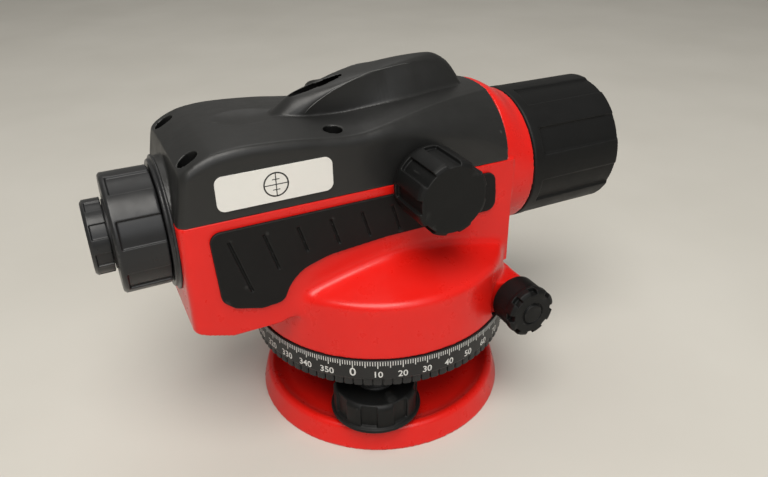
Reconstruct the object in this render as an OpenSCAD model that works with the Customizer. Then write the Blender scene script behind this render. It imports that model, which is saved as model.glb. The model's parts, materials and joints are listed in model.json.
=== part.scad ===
// Automatic level: a self-levelling surveying telescope on a three-screw base.
// +X is the line of sight towards the objective and +Z is the vertical axis.
// The origin is the mouth of the tripod thread, in the plane the base stands on.

/* [Base plate] */
// Radius of the base plate
base_r = 50.6; // [49:0.1:56]
// Height of the base plate's rim
base_h = 9.4; // [8.6:0.1:10.6]
// Thickness of the plate inside the rim
base_web = 6.6; // [6.2:0.1:8]
// Radius of the bore that the tripod screw enters
thread_r = 7.94; // [7:0.02:9]
// Length of the tripod thread
thread_l = 12; // [9:0.5:16]
// Thickness of the plate that holds the foot screws down
spring_t = 1; // [0.6:0.1:1.4]

/* [Foot screws] */
// Distance of the foot screws' centres inside the circle's edge
foot_inset = 15; // [14.5:0.1:17]
// Direction of the first foot screw
foot_angle = 242; // [230:1:250]
// Radius of a foot screw's threaded stem
stem_r = 7.6; // [6:0.1:7.8]
// Radius of a foot screw's knob
foot_knob_r = 17.3; // [15:0.1:19]
// Height of a foot screw's knob
foot_knob_h = 11.5; // [8:0.1:12.5]
// Room between the rim and a foot screw's knob
foot_knob_gap = 2.3; // [1:0.1:2.5]
// Travel of the levelling head up or down
lift = 2.5; // [1:0.1:3]

/* [Horizontal circle] */
// Height of the circle's lower edge above the base web
head_gap = 25.8; // [25:0.1:30]
// Outer radius of the graduated circle
circle_r = 51.5; // [50:0.1:54]
// Height of the graduated circle
circle_h = 11.2; // [10:0.1:13]
// Wall of the graduated circle
circle_wall = 4.15; // [3.4:0.05:5]
// Number of finger notches round the circle
circle_notches = 90; // [60:2:120]
// Height of a finger notch
notch_h = 3; // [2:0.1:4]

/* [Azimuth drive] */
// Distance of the tangent screw inside the drum's edge
worm_inset = 14; // [12.5:0.1:15]
// Outer radius of the worm
worm_r = 4.5; // [3.5:0.1:5]
// Number of teeth on the worm wheel
wheel_teeth = 120; // [90:2:150]
// Radius of the tangent screw's plain shaft
worm_shaft_r = 3; // [2.5:0.1:3.2]
// Radius of a tangent knob
tangent_knob_r = 9.7; // [8:0.1:11]
// Length of a tangent knob
tangent_knob_l = 13.4; // [9:0.1:15]
// Radius of the vertical axle
axle_r = 9.4; // [8:0.1:10.5]

/* [Housing] */
// Distance of the rear face behind the vertical axis
body_rear = 79; // [77:0.5:85]
// Distance of the front wall before the vertical axis
body_front = 44; // [43:0.5:47]
// Width of the telescope housing
body_w = 54; // [53:0.5:58]
// Wall of the housing
wall = 3.5; // [2.5:0.1:4]
// Radius of the housing's upright rear corners
corner_r = 3.2; // [2:0.1:10]
// Height of the seam between housing and cover above the circle
seam_h = 56.4; // [55:0.2:60]
// Step from the circle's edge in to the drum's
drum_step = 0.5; // [0:0.1:2]
// Height of the drum's shoulder edge above the circle
drum_h = 22.5; // [20:0.5:24]
// Height of the telescope axis above the circle
axis_h = 47.4; // [46.6:0.2:48]
// Radius of the objective barrel
barrel_r = 26.8; // [26:0.1:27.5]

/* [Objective] */
// Length of the objective hood
hood_l = 41.6; // [30:0.5:55]
// Outer radius of the hood at its mouth
hood_r = 26.6; // [25.4:0.1:27.5]
// Depth of the hood's grip panels
panel_depth = 1; // [0.3:0.1:1.1]
// Radius of the objective lens
lens_r = 19.2; // [16:0.1:19.6]

/* [Focusing] */
// Place of the focus shaft along the line of sight
focus_x = 5.7; // [3:0.1:9]
// Height of the focus shaft over the telescope axis
focus_h = 9.4; // [9:0.1:10.5]
// Radius of the focus knob
focus_knob_r = 13.3; // [10:0.1:14]
// Length of the focus knob
focus_knob_l = 19.3; // [12:0.1:24]
// Pitch radius of the focus pinion
pinion_r = 3.4; // [3:0.1:3.6]
// Travel of the focusing lens each way
focus_travel = 9; // [5:0.5:9]
// Outer radius of the focusing tube
focus_tube_r = 15; // [13.5:0.1:15.5]

/* [Eyepiece] */
// Length of the dioptre ring that stands out of the eyepiece cover
dioptre_l = 7; // [5:0.5:10]
// Radius of the dioptre ring
dioptre_r = 12.6; // [12:0.1:14]
// Radius of the eyepiece cover
eye_cover_r = 20.3; // [18.5:0.1:22]
// Length of the eyepiece cover
eye_cover_l = 15.5; // [14:0.5:18]
// Radius of the eyepiece flange
eye_flange_r = 23.3; // [22:0.1:24.5]
// Travel of the eyepiece each way
eye_travel = 2; // [1:0.1:2.2]

/* [Cover] */
// Wall of the cover
cover_wall = 2.6; // [2:0.1:3]
// Radius of the deep screw holes in the cover
cover_hole_r = 3.2; // [2.6:0.1:3.8]
// Radius of the sighting bore
sight_r = 2.3; // [1.8:0.1:4]
// Greatest height of the cover's side edge over the seam
edge_h = 23.3; // [21:0.1:26]
// Height of the sight's ridge over the seam
sight_h = 36.3; // [34:0.1:40]

/* [Grips and label] */
// Thickness of a side grip
grip_t = 1.2; // [0.8:0.1:1.6]
// Width of the label plate
label_w = 38.2; // [25:0.1:42]
// Height of the label plate
label_h = 11.6; // [8:0.2:13]

/* [Circular level] */
// Place of the circular vial along the line of sight
vial_x = 1.5; // [-6:0.5:4]
// Distance of the vial's middle from the housing's side
vial_out = 13; // [12.5:0.5:16]
// Radius of the circular vial
vial_r = 9; // [7:0.2:10]

/* [Hidden] */
$fn = 64;
run_gap = 0.3;
shaft_gap = 0.06;
seat_gap = 0.02;
eps = 0.01;

red = [0.80, 0.09, 0.07];
black = [0.12, 0.12, 0.13];
steel = [0.72, 0.72, 0.74];
brass = [0.78, 0.62, 0.30];
alloy = [0.80, 0.81, 0.83];
glass = [0.70, 0.84, 0.90];
white = [0.93, 0.93, 0.91];

// Heights of the stack from the ground to the telescope
head_z = base_web + head_gap;
circle_top = head_z + circle_h;
drum_gap = 0.35;
drum_z = circle_top + drum_gap;
plate_z = head_z + 0.6;
plate_t = 4;
plate_top = plate_z + plate_t;
floor_t = 4;
floor_z = circle_top + 18.4;
belly_z = circle_top + 13.4;
seam_z = circle_top + seam_h;
axis_z = circle_top + axis_h;
half_w = body_w / 2;
inner_w = half_w - wall;

// Radii that line up with the circle's edge
foot_ring_r = circle_r - foot_inset;
drum_r = circle_r - drum_step;
worm_x = drum_r - worm_inset;

// Foot screws
ball_r = 2.4;
neck_r = 1.7;
shank_r = 5;
seat_floor = 1.2;
ball_z = seat_floor + run_gap + ball_r;
foot_knob_z = base_h + foot_knob_gap;
foot_knob_top = foot_knob_z + foot_knob_h;
boss_drop = 3;
boss_r = stem_r + 4;
bush_wall = 1.9;
stem_top = plate_top + lift + 1.2;
thread_pitch = 1.25;
thread_depth = 0.55;

// Vertical axis and its drive
bush_r = axle_r + 2.6;
hub_r = bush_r + 2.7;
hub_step_r = hub_r + 3.3;
worm_z = circle_top + 6.4;
wheel_h = 8;
wheel_z = worm_z - wheel_h / 2;
wheel_r = worm_x - worm_r - run_gap;
wheel_tooth = 0.9;
washer_t = 1;
hub_top = wheel_z + wheel_h + washer_t + run_gap;
axle_flange_z = hub_top + run_gap;
axle_flange_r = 20;
nut_h = 4;
circle_in = circle_r - circle_wall;
plate_r = circle_in - run_gap;

// Lugs on the drum that carry the tangent screw
lug_stand = 5.4;
lug_out = sqrt(pow(drum_r, 2) - pow(worm_x, 2)) + lug_stand;
lug_side = 8;
lug_top = worm_z + 7.5;
lug_bush_l = 7;
knob_room = 0.8;
tangent_y = lug_out + 1.2;

// Objective barrel and hood
cover_gap = 0.2;
barrel_x0 = body_front - 2.6;
cover_x1 = barrel_x0 - cover_gap;
spigot_r = barrel_r - 1.6;
spigot_l = 3;
barrel_l = 10;
barrel_x = body_front + barrel_l;
arch_h = seam_h - axis_h + edge_h;
arch_power = 2.4;
nose_r = barrel_r - 3;
nose_l = 6;
bore_r = lens_r + 2.8;
hood_x = barrel_x + 0.4;
hood_wall = 2.4;
hood_panels = 8;
hood_turn = 18;

// Focusing
focus_z = axis_z + focus_h;
focus_boss_r = 8;
focus_boss_out = 0.4;
focus_shaft_r = 2;
knob_gap = 0.5;
focus_knob_y = half_w + grip_t + knob_gap;
focus_tube_l = 24;
focus_tube_x = focus_x - 1;
rack_top = focus_z - pinion_r - run_gap;
rack_h = 3.8;
rack_w = 5;
rack_y = sqrt(pow(focus_tube_r, 2) - pow(rack_top - rack_h / 2 - axis_z, 2));

// Eyepiece
eye_flange_t = 2;
eye_flange_step = 1.3;
eye_tube_r = eye_cover_r - 4;
eye_bore_r = dioptre_r - 0.6;
eye_x = -body_rear - eye_flange_t;
eye_gap = 0.4;
eye_cover_end = eye_x - eye_gap - eye_cover_l;
dioptre_gap = 0.5;
reticle_r = 13;

// Compensator
comp_back = 50;
comp_x = -body_rear + comp_back;
comp_w = 26;
comp_l = 30;
comp_top = axis_z + 20;
comp_plate = 2;
pend_w = 15;
pend_l = 18;
pend_top = axis_z + 7;
pend_low = axis_z - 12;
tape_t = 0.3;

// Cover screws, two pairs along the housing
screw_rear_x = -body_rear + 7.5;
screw_mid_x = -24;
screw_rear_y = half_w - 7.8;
screw_mid_y = half_w - 8;
screw_floor = seam_z + 2.5;

// Circular level
vial_y = half_w + vial_out;
vial_z = seam_z - 8;
cup_wall = 2;
cup_h = 9;
cup_r = vial_r + cup_wall;
vial_room = 6;

// Points of an arc from angle a to angle b
function arc(c, r, a, b, n = 6) =
  [for (i = [0:n]) let(t = a + (b - a) * i / n) [c[0] + r * cos(t), c[1] + r * sin(t)]];

// Smooth curve through a list of [place, value] pairs
function at(p, i) = p[max(0, min(len(p) - 1, i))];
function span(t, p, i = 0) = i >= len(p) - 2 || t < p[i + 1][0] ? i : span(t, p, i + 1);
function slope(p, i) = let(a = at(p, i - 1), b = at(p, i + 1)) (b[1] - a[1]) / (b[0] - a[0]);
function curve(t, p) =
  let(i = span(t, p), a = p[i], b = p[i + 1], h = b[0] - a[0])
  let(s = max(0, min(1, (t - a[0]) / h)))
  let(q = s * s, c = q * s)
  (2 * c - 3 * q + 1) * a[1] + (c - 2 * q + s) * h * slope(p, i)
  + (3 * q - 2 * c) * b[1] + (c - q) * h * slope(p, i + 1);

// Closed skin over a list of rings of equally many points
module loft(rings) {
  n = len(rings[0]);
  m = len(rings);
  sides = [
    for (i = [0:m - 2], j = [0:n - 1])
      let(a = i * n + j, b = i * n + (j + 1) % n)
      each [[a, b, a + n], [b, b + n, a + n]]
  ];
  rear = [[for (j = [0:n - 1]) n - 1 - j]];
  front = [[for (j = [0:n - 1]) (m - 1) * n + j]];
  polyhedron(points = [for (r = rings) each r], faces = concat(rear, sides, front), convexity = 8);
}

// Solid of revolution about a line along +X at the telescope axis
module along_x(profile) {
  translate([0, 0, axis_z])
    rotate([0, 90, 0])
      rotate_extrude()
        polygon(profile);
}

// Tube along +X at the telescope axis, between two places
module x_tube(r_out, r_in, x0, x1) {
  along_x([[r_in, x0], [r_out, x0], [r_out, x1], [r_in, x1]]);
}

// Cylinder along +X at the telescope axis
module x_rod(r, x0, x1) {
  translate([x0, 0, axis_z])
    rotate([0, 90, 0])
      cylinder(r = r, h = x1 - x0);
}

// Cylinder along Y from one place to another
module y_rod(x, z, r, y0, y1) {
  translate([x, y1, z])
    rotate([90, 0, 0])
      cylinder(r = r, h = y1 - y0);
}

// Box between two corners
module box(a, b) {
  translate(a)
    cube(b - a);
}

// Places the foot screws' pieces
module at_foot(i) {
  rotate(foot_angle + 120 * i)
    translate([foot_ring_r, 0, 0])
      children();
}

// Copies a piece on both sides of the line of sight
module both_sides() {
  children();
  mirror([0, 1, 0])
    children();
}

// Every other panel of a turned grip, as a band of the given depth from z0 to z1
module panels(r, depth, z0, z1, count, turn) {
  half = 90 / count;
  far = 2 * r;
  for (k = [0:count - 1])
    rotate(turn + 360 * k / count)
      intersection() {
        translate([0, 0, z0])
          linear_extrude(z1 - z0)
            polygon([[0, 0], [far * cos(half), -far * sin(half)], [far * cos(half), far * sin(half)]]);
        translate([0, 0, z0])
          difference() {
            cylinder(r = r + 5, h = z1 - z0);
            translate([0, 0, -1])
              cylinder(r = r - depth, h = z1 - z0 + 2);
          }
      }
}

// The same panels about the telescope axis, turned from the top towards the right
module x_panels(r, depth, x0, x1, count, turn) {
  translate([0, 0, axis_z])
    rotate([0, 90, 0])
      panels(r, depth, x0, x1, count, 180 + turn);
}

// Base plate: a dished disc with a raised rim and the tripod thread

rim_w = 4.8;
dish_gap = 0.5;
rim_round = 2.4;
boss_thread_r = thread_r + 5;
spring_ring_r = boss_thread_r + 9;
spring_screw_r = boss_thread_r + 5.2;
spring_arm_w = 6.4;
m3_r = 1.25;

// The dish falls in a curve from the rim to a floor that clears the spring plate
module base_plate() {
  dish_r = foot_ring_r + spring_arm_w / 2 + dish_gap;
  rim_in = base_r - rim_w;
  rim_z = base_h - 0.3;
  dish = [
    for (i = [5:-1:0])
      let(t = i / 5)
      [dish_r + (rim_in - dish_r) * t, base_web + (rim_z - base_web) * t * t]
  ];
  profile = concat(
    [[0, 0], [base_r, 0], [base_r, 0.9]],
    arc([base_r - 1.6 - rim_round, base_h - rim_round], rim_round, 10, 90),
    dish,
    [
      [boss_thread_r + 1, base_web], [boss_thread_r, base_web + 1],
      [boss_thread_r, thread_l], [0, thread_l]
    ]
  );
  color(red)
    difference() {
      rotate_extrude()
        polygon(profile);
      translate([0, 0, -eps])
        cylinder(r = thread_r, h = thread_l + 2 * eps);
      for (i = [0:2]) {
        at_foot(i)
          translate([0, 0, seat_floor])
            cylinder(r = ball_r + run_gap, h = base_h);
        rotate(foot_angle + 60 + 120 * i)
          translate([spring_screw_r, 0, base_web - 4.5])
            cylinder(r = m3_r + seat_gap, h = base_h);
      }
    }
}

module foot_spring_plate() {
  color(steel)
    translate([0, 0, base_web])
      difference() {
        union() {
          cylinder(r = spring_ring_r, h = spring_t);
          for (i = [0:2]) {
            rotate(foot_angle + 120 * i)
              translate([boss_thread_r, -spring_arm_w / 2, 0])
                cube([foot_ring_r - boss_thread_r, spring_arm_w, spring_t]);
            at_foot(i)
              cylinder(r = spring_arm_w / 2, h = spring_t);
          }
        }
        translate([0, 0, -eps])
          cylinder(r = boss_thread_r + 1 + run_gap, h = spring_t + 2 * eps);
        for (i = [0:2]) {
          at_foot(i)
            translate([0, 0, -eps])
              cylinder(r = neck_r + 0.4, h = spring_t + 2 * eps);
          rotate(foot_angle + 60 + 120 * i)
            translate([spring_screw_r, 0, -eps])
              cylinder(r = m3_r + 0.1, h = spring_t + 2 * eps);
        }
      }
}

module spring_plate_screws() {
  color(steel)
    for (i = [0:2])
      rotate(foot_angle + 60 + 120 * i)
        translate([spring_screw_r, 0, base_web + spring_t])
          difference() {
            union() {
              cylinder(r = 2.4, h = 1.6);
              translate([0, 0, -spring_t - 4])
                cylinder(r = m3_r, h = spring_t + 4);
            }
            translate([-3, -0.4, 0.9])
              cube([6, 0.8, 2]);
          }
}

// Foot screws: a ball that sits in the base plate, a neck and a threaded stem

module foot_screw(i) {
  turns = floor((stem_top - foot_knob_top - 1) / thread_pitch);
  thread = [
    for (k = [0:turns - 1])
      let(z = foot_knob_top + 0.4 + k * thread_pitch)
      each [[stem_r - thread_depth, z], [stem_r, z + 0.3], [stem_r, z + 0.7]]
  ];
  neck_turn = asin(neck_r / ball_r);
  profile = concat(
    arc([0, ball_z], ball_r, -90, 90 - neck_turn, 10),
    [
      [neck_r, foot_knob_z], [shank_r, foot_knob_z], [shank_r, foot_knob_top],
      [stem_r - thread_depth, foot_knob_top]
    ],
    thread,
    [[stem_r - thread_depth, stem_top - 0.6], [stem_r - 1, stem_top], [0, stem_top]]
  );
  color(black)
    at_foot(i)
      rotate_extrude()
        polygon(profile);
}

module foot_screw_a() { foot_screw(0); }
module foot_screw_b() { foot_screw(1); }
module foot_screw_c() { foot_screw(2); }

knob_flange_t = 1.5;
knob_body_r = foot_knob_r - 1.1;
knob_panels = 8;
knob_turn = -6;

module foot_knob(i) {
  profile = concat(
    [[shank_r + seat_gap, 0], [foot_knob_r, 0], [foot_knob_r, knob_flange_t - 0.4]],
    [[foot_knob_r - 0.4, knob_flange_t], [knob_body_r, knob_flange_t]],
    arc([knob_body_r - 2.2, foot_knob_h - 2.2], 2.2, 0, 75),
    [[stem_r + 1, foot_knob_h], [shank_r + seat_gap, foot_knob_h]]
  );
  color(black)
    at_foot(i)
      translate([0, 0, foot_knob_z])
        difference() {
          rotate_extrude()
            polygon(profile);
          panels(
            knob_body_r, panel_depth, knob_flange_t + 0.5, foot_knob_h + 1, knob_panels, knob_turn
          );
        }
}

module foot_knob_a() { foot_knob(0); }
module foot_knob_b() { foot_knob(1); }
module foot_knob_c() { foot_knob(2); }

// Levelling head: a plate on the three screws with the hub of the vertical axis

module levelling_head() {
  color(black)
    difference() {
      union() {
        translate([0, 0, plate_z])
          cylinder(r = plate_r, h = plate_t);
        translate([0, 0, plate_z])
          cylinder(r = hub_step_r, h = wheel_z - run_gap - plate_z);
        translate([0, 0, plate_z])
          cylinder(r = hub_r, h = hub_top - plate_z);
        intersection() {
          for (i = [0:2])
            at_foot(i)
              translate([0, 0, plate_z - boss_drop])
                cylinder(r = boss_r, h = boss_drop + plate_t);
          cylinder(r = plate_r, h = plate_top);
        }
      }
      translate([0, 0, plate_z - eps])
        cylinder(r = bush_r + seat_gap, h = hub_top);
      for (i = [0:2])
        at_foot(i)
          translate([0, 0, plate_z - boss_drop - eps])
            cylinder(r = stem_r + run_gap + bush_wall + seat_gap, h = boss_drop + plate_t + 1);
    }
}

module axis_bush() {
  color(brass)
    translate([0, 0, plate_z + nut_h])
      difference() {
        cylinder(r = bush_r, h = hub_top - plate_z - nut_h);
        translate([0, 0, -eps])
          cylinder(r = axle_r + shaft_gap, h = hub_top);
      }
}

module foot_screw_bushes() {
  color(brass)
    for (i = [0:2])
      at_foot(i)
        translate([0, 0, plate_z - boss_drop])
          difference() {
            cylinder(r = stem_r + run_gap + bush_wall, h = boss_drop + plate_t);
            translate([0, 0, -eps])
              cylinder(r = stem_r + run_gap, h = boss_drop + plate_t + 1);
          }
}

// Horizontal circle: a graduated ring with finger notches along its lower edge

module horizontal_circle() {
  notch_depth = 1;
  tooth_round = 0.25;
  top_edge = 0.2;
  pitch = 360 / circle_notches;
  low_r = circle_r - 0.5;
  outline = [
    for (k = [0:circle_notches - 1])
      each [
        [low_r - tooth_round, -0.43 * pitch], [low_r, -0.24 * pitch],
        [low_r, 0.24 * pitch], [low_r - tooth_round, 0.43 * pitch],
        [low_r - notch_depth, 0.46 * pitch], [low_r - notch_depth, 0.54 * pitch]
      ] + [for (i = [0:5]) [0, k * pitch]]
  ];
  lip_r = circle_r - 0.2;
  rest_z = plate_top + run_gap;
  ledge_in = foot_ring_r + stem_r + 0.7;
  profile = [
    [circle_in, head_z + notch_h], [lip_r, head_z + notch_h], [circle_r, head_z + notch_h + 0.5],
    [circle_r, circle_top - top_edge], [circle_r - top_edge, circle_top], [circle_in, circle_top],
    [circle_in, rest_z + 2], [ledge_in, rest_z + 2], [ledge_in, rest_z], [circle_in, rest_z]
  ];
  color(black)
    union() {
      rotate_extrude()
        polygon(profile);
      translate([0, 0, head_z])
        difference() {
          linear_extrude(notch_h)
            polygon([for (p = outline) p[0] * [cos(p[1]), sin(p[1])]]);
          translate([0, 0, -eps])
            cylinder(r = circle_in, h = notch_h + 2 * eps);
        }
    }
}

// Azimuth drive: an endless worm on a friction wheel about the hub

module worm_wheel() {
  pitch = 360 / wheel_teeth;
  outline = [
    for (k = [0:wheel_teeth - 1])
      each [
        [wheel_r - wheel_tooth, (k - 0.36) * pitch], [wheel_r, (k - 0.14) * pitch],
        [wheel_r, (k + 0.14) * pitch], [wheel_r - wheel_tooth, (k + 0.36) * pitch]
      ]
  ];
  color(brass)
    translate([0, 0, wheel_z])
      difference() {
        linear_extrude(wheel_h)
          polygon([for (p = outline) p[0] * [cos(p[1]), sin(p[1])]]);
        translate([0, 0, -eps])
          cylinder(r = hub_r + run_gap, h = wheel_h + 1);
        for (z = [-eps, wheel_h - 2])
          translate([0, 0, z])
            difference() {
              cylinder(r = wheel_r - 4, h = 2 + eps);
              translate([0, 0, -eps])
                cylinder(r = hub_step_r + 1.5, h = 3);
            }
      }
}

module friction_washer() {
  color(steel)
    translate([0, 0, wheel_z + wheel_h])
      difference() {
        cylinder(r = hub_step_r, h = washer_t);
        translate([0, 0, -eps])
          cylinder(r = hub_r + run_gap, h = washer_t + 1);
      }
}

module vertical_axle() {
  profile = [
    [0, plate_z], [axle_r, plate_z], [axle_r, axle_flange_z], [axle_flange_r, axle_flange_z],
    [axle_flange_r, floor_z], [0, floor_z]
  ];
  color(steel)
    rotate_extrude()
      polygon(profile);
}

module axle_nut() {
  color(steel)
    translate([0, 0, plate_z])
      difference() {
        cylinder(r = bush_r - 0.5, h = nut_h - run_gap);
        translate([0, 0, -eps])
          cylinder(r = axle_r + seat_gap, h = nut_h);
      }
}

// Housing: a drum over the circle, the telescope's lower shell, the objective
// barrel, and a lug on each side for the tangent screw

// Plan of the telescope shell, with round rear corners
module plan(inset, x_front) {
  r = max(corner_r - inset, 0.5);
  w = half_w - inset;
  polygon(concat(
    [[x_front, -w], [x_front, w]],
    arc([-body_rear + inset + r, w - r], r, 90, 180),
    arc([-body_rear + inset + r, -w + r], r, 180, 270)
  ));
}

module drum_skin() {
  edge_r = 3;
  edge_z = circle_top + drum_h;
  top_z = edge_z + 7;
  profile = concat(
    [[0, drum_z], [drum_r, drum_z]],
    arc([drum_r - 1 - edge_r, edge_z - edge_r], edge_r, 3, 72),
    [[half_w, top_z], [0, top_z]]
  );
  rotate_extrude()
    polygon(profile);
}

module shell_skin() {
  keel = 12;
  intersection() {
    translate([0, 0, belly_z])
      linear_extrude(seam_z - belly_z)
        plan(0, body_front);
    rotate([90, 0, 0])
      linear_extrude(2 * body_w, center = true)
        polygon([
          [-body_rear, seam_z], [-body_rear, belly_z + 4], [-body_rear + keel, belly_z],
          [body_front, belly_z], [body_front, seam_z]
        ]);
  }
}

// Section of the objective barrel: an arch that meets the cover at the rear and
// turns into a circle at the front
function barrel_ring(t, sides = 60) =
  let(x = barrel_x0 + t * (barrel_x - barrel_x0), s = t * t * (3 - 2 * t))
  let(w = half_w - 0.1 + s * (barrel_r - half_w + 0.1), h = arch_h + s * (barrel_r - arch_h))
  let(e = 2 / (arch_power + s * (2 - arch_power)))
  [
    for (i = [0:sides - 1])
      let(q = 360 * i / sides, c = cos(q), d = sin(q))
      c > 0
        ? [x, sign(d) * w * pow(abs(d), e), axis_z + h * pow(c, e)]
        : [x, w * d, axis_z + w * c]
  ];

module barrel_skin() {
  steps = 7;
  loft([for (i = [0:steps]) barrel_ring(i / steps)]);
}

module lug() {
  x0 = worm_x - 12;
  x1 = worm_x + lug_side;
  translate([0, -20, 0])
    rotate([90, 0, 0])
      linear_extrude(lug_out - 20)
        polygon(concat(
          [[x0, drum_z], [x1, drum_z]],
          arc([x1 - 3, lug_top - 5], 3, 0, 60),
          [[x0 + 3, lug_top], [x0, lug_top]]
        ));
}

module cover_posts() {
  post_r = 3.4;
  both_sides() {
    translate([screw_rear_x, -screw_rear_y, belly_z + wall])
      cylinder(r = post_r, h = seam_z - belly_z - wall);
    translate([screw_mid_x, -screw_mid_y, floor_z + floor_t - eps])
      cylinder(r = post_r, h = seam_z - floor_z - floor_t + eps);
  }
}

module main_housing() {
  well_x0 = -body_rear + wall;
  well_x1 = body_front - wall;
  color(red)
    difference() {
      union() {
        difference() {
          union() {
            drum_skin();
            shell_skin();
            x_tube(spigot_r, inner_w + 0.1, barrel_x0 - spigot_l, barrel_x0 + eps);
            barrel_skin();
            x_tube(nose_r, bore_r, barrel_x - eps, barrel_x + nose_l);
            both_sides()
              lug();
            y_rod(focus_x, focus_z, focus_boss_r, -half_w - focus_boss_out, -inner_w);
          }
          translate([0, 0, drum_z - eps])
            cylinder(r = drum_r - wall - 0.6, h = floor_z - drum_z + eps);
          intersection() {
            translate([0, 0, floor_z + floor_t])
              linear_extrude(seam_z)
                plan(wall, well_x1);
            box([-body_rear, -body_w, 0], [body_front, body_w, seam_z + eps]);
          }
        }
        cover_posts();
      }
      x_rod(bore_r, well_x1 - 1, barrel_x + nose_l + eps);
      x_rod(reticle_r + seat_gap, -body_rear - 1, well_x0 + 1);
      y_rod(focus_x, focus_z, focus_shaft_r + 2.5 + seat_gap, -body_w, -inner_w + 1);
      both_sides() {
        y_rod(worm_x, worm_z, worm_shaft_r + 2 + seat_gap, -body_w, -20);
        y_rod(worm_x, worm_z, tangent_knob_r + knob_room, -2 * body_w, -lug_out);
        translate([screw_rear_x, -screw_rear_y, seam_z - 10])
          cylinder(r = m3_r + seat_gap, h = 11);
        translate([screw_mid_x, -screw_mid_y, seam_z - 10])
          cylinder(r = m3_r + seat_gap, h = 11);
      }
    }
}

module worm_bushes() {
  color(brass)
    both_sides()
      difference() {
        y_rod(worm_x, worm_z, worm_shaft_r + 2, -lug_out, -lug_out + lug_bush_l);
        y_rod(worm_x, worm_z, worm_shaft_r + shaft_gap, -lug_out - 1, -lug_out + lug_bush_l + 1);
      }
}

module worm_shaft() {
  worm_l = 16;
  worm_pitch = 2 * PI * wheel_r / wheel_teeth;
  worm_turns = floor(worm_l / worm_pitch);
  start = -worm_turns * worm_pitch / 2;
  end_y = tangent_y + tangent_knob_l - 3;
  thread = [
    for (k = [0:worm_turns - 1])
      let(y = start + k * worm_pitch)
      each [
        [worm_r - wheel_tooth, y], [worm_r, y + 0.3 * worm_pitch],
        [worm_r, y + 0.6 * worm_pitch], [worm_r - wheel_tooth, y + 0.9 * worm_pitch]
      ]
  ];
  profile = concat(
    [[0, -end_y], [worm_shaft_r, -end_y], [worm_shaft_r, start]],
    thread,
    [[worm_shaft_r, -start], [worm_shaft_r, end_y], [0, end_y]]
  );
  color(steel)
    translate([worm_x, 0, worm_z])
      rotate([-90, 0, 0])
        rotate_extrude()
          polygon(profile);
}

// Tangent knob on the right, built along +Z from its seat and turned to point outwards
module tangent_knob() {
  rim_l = 4;
  lobes = 8;
  notch_w = 2.8;
  notch_in = 1.9;
  barrel = tangent_knob_r - 0.4;
  l = tangent_knob_l;
  profile = concat(
    [[worm_shaft_r + seat_gap, 0], [barrel - 1, 0], [barrel, 1], [barrel, l - rim_l - 0.6]],
    [[tangent_knob_r, l - rim_l], [tangent_knob_r, l - 1.2], [tangent_knob_r - 1.2, l - 0.4]],
    [[4.6, l - 0.4], [4.4, l - 1], [3.8, l - 1], [3.6, l], [0, l]],
    [[0, l - 2.8], [worm_shaft_r + seat_gap, l - 2.8]]
  );
  translate([worm_x, -tangent_y, worm_z])
    rotate([90, 0, 0])
      difference() {
        rotate_extrude()
          polygon(profile);
        for (k = [0:lobes - 1])
          rotate(360 * k / lobes)
            translate([tangent_knob_r - notch_in, -notch_w / 2, l - rim_l + 0.8])
              cube([2 * notch_in, notch_w, rim_l]);
      }
}

module tangent_knob_right() {
  color(black)
    tangent_knob();
}

module tangent_knob_left() {
  color(black)
    mirror([0, 1, 0])
      tangent_knob();
}

// Objective: a cell in the barrel, its lens and retaining ring, and the hood

cell_r = bore_r - 0.05;
cell_x0 = body_front - wall + 0.5;
cell_x1 = barrel_x + nose_l - 2;
lens_seat = cell_x1 - 9;

module objective_cell() {
  color(black)
    along_x([
      [lens_r - 2, cell_x0], [cell_r, cell_x0], [cell_r, cell_x1], [lens_r + 0.1, cell_x1],
      [lens_r + 0.1, lens_seat], [lens_r - 2, lens_seat]
    ]);
}

// Half profile of a lens with a flat rim, whose rear face is at x0
lens_rim = 2.2;
function lens_half(r, x0, edge, bulge) =
  let(dome = r - lens_rim)
  concat(
    [for (i = [0:6]) let(t = i / 6) [dome * t, x0 - bulge * (1 - t * t)]],
    [[r, x0], [r, x0 + edge]],
    [for (i = [6:-1:0]) let(t = i / 6) [dome * t, x0 + edge + bulge * (1 - t * t)]]
  );

module objective_lens() {
  color(glass)
    along_x(lens_half(lens_r, lens_seat, 4.5, 2));
}

module objective_retainer() {
  color(black)
    x_tube(lens_r, lens_r - 2, lens_seat + 4.5, lens_seat + 7);
}

module objective_hood() {
  x0 = hood_x;
  x1 = hood_x + hood_l;
  step_x = barrel_x + nose_l + 0.6;
  in_r = hood_r - hood_wall;
  rear_r = barrel_r;
  color(black)
    difference() {
      along_x([
        [nose_r + 0.1, x0], [rear_r - 0.6, x0], [rear_r, x0 + 0.6],
        [hood_r, x1 - 0.8], [hood_r - 0.8, x1], [in_r, x1],
        [in_r - 0.6, step_x], [nose_r + 0.1, step_x]
      ]);
      intersection() {
        x_panels(rear_r, panel_depth + 2, x0 + 4.5, x1 + 1, hood_panels, hood_turn);
        along_x([
          [rear_r - panel_depth, x0], [rear_r + 4, x0],
          [rear_r + 4, x1 + 1], [hood_r - panel_depth, x1 + 1]
        ]);
      }
    }
}

// Focusing: a tube that slides in its guide, driven by a rack and pinion

guide_r = focus_tube_r + run_gap;
guide_x0 = focus_tube_x - focus_travel - 1;
guide_x1 = body_front - wall;
guide_flange_t = 2;

module focus_guide() {
  flange_r = inner_w - 0.2;
  color(alloy)
    difference() {
      along_x([
        [guide_r, guide_x0], [guide_r + 1.6, guide_x0], [guide_r + 1.6, guide_x1 - guide_flange_t],
        [flange_r, guide_x1 - guide_flange_t], [flange_r, guide_x1], [guide_r, guide_x1]
      ]);
      box(
        [guide_x0 - 1, -half_w, rack_top - rack_h - 1],
        [guide_x1 - guide_flange_t, 0, rack_top + 2 * pinion_r]
      );
    }
}

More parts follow.
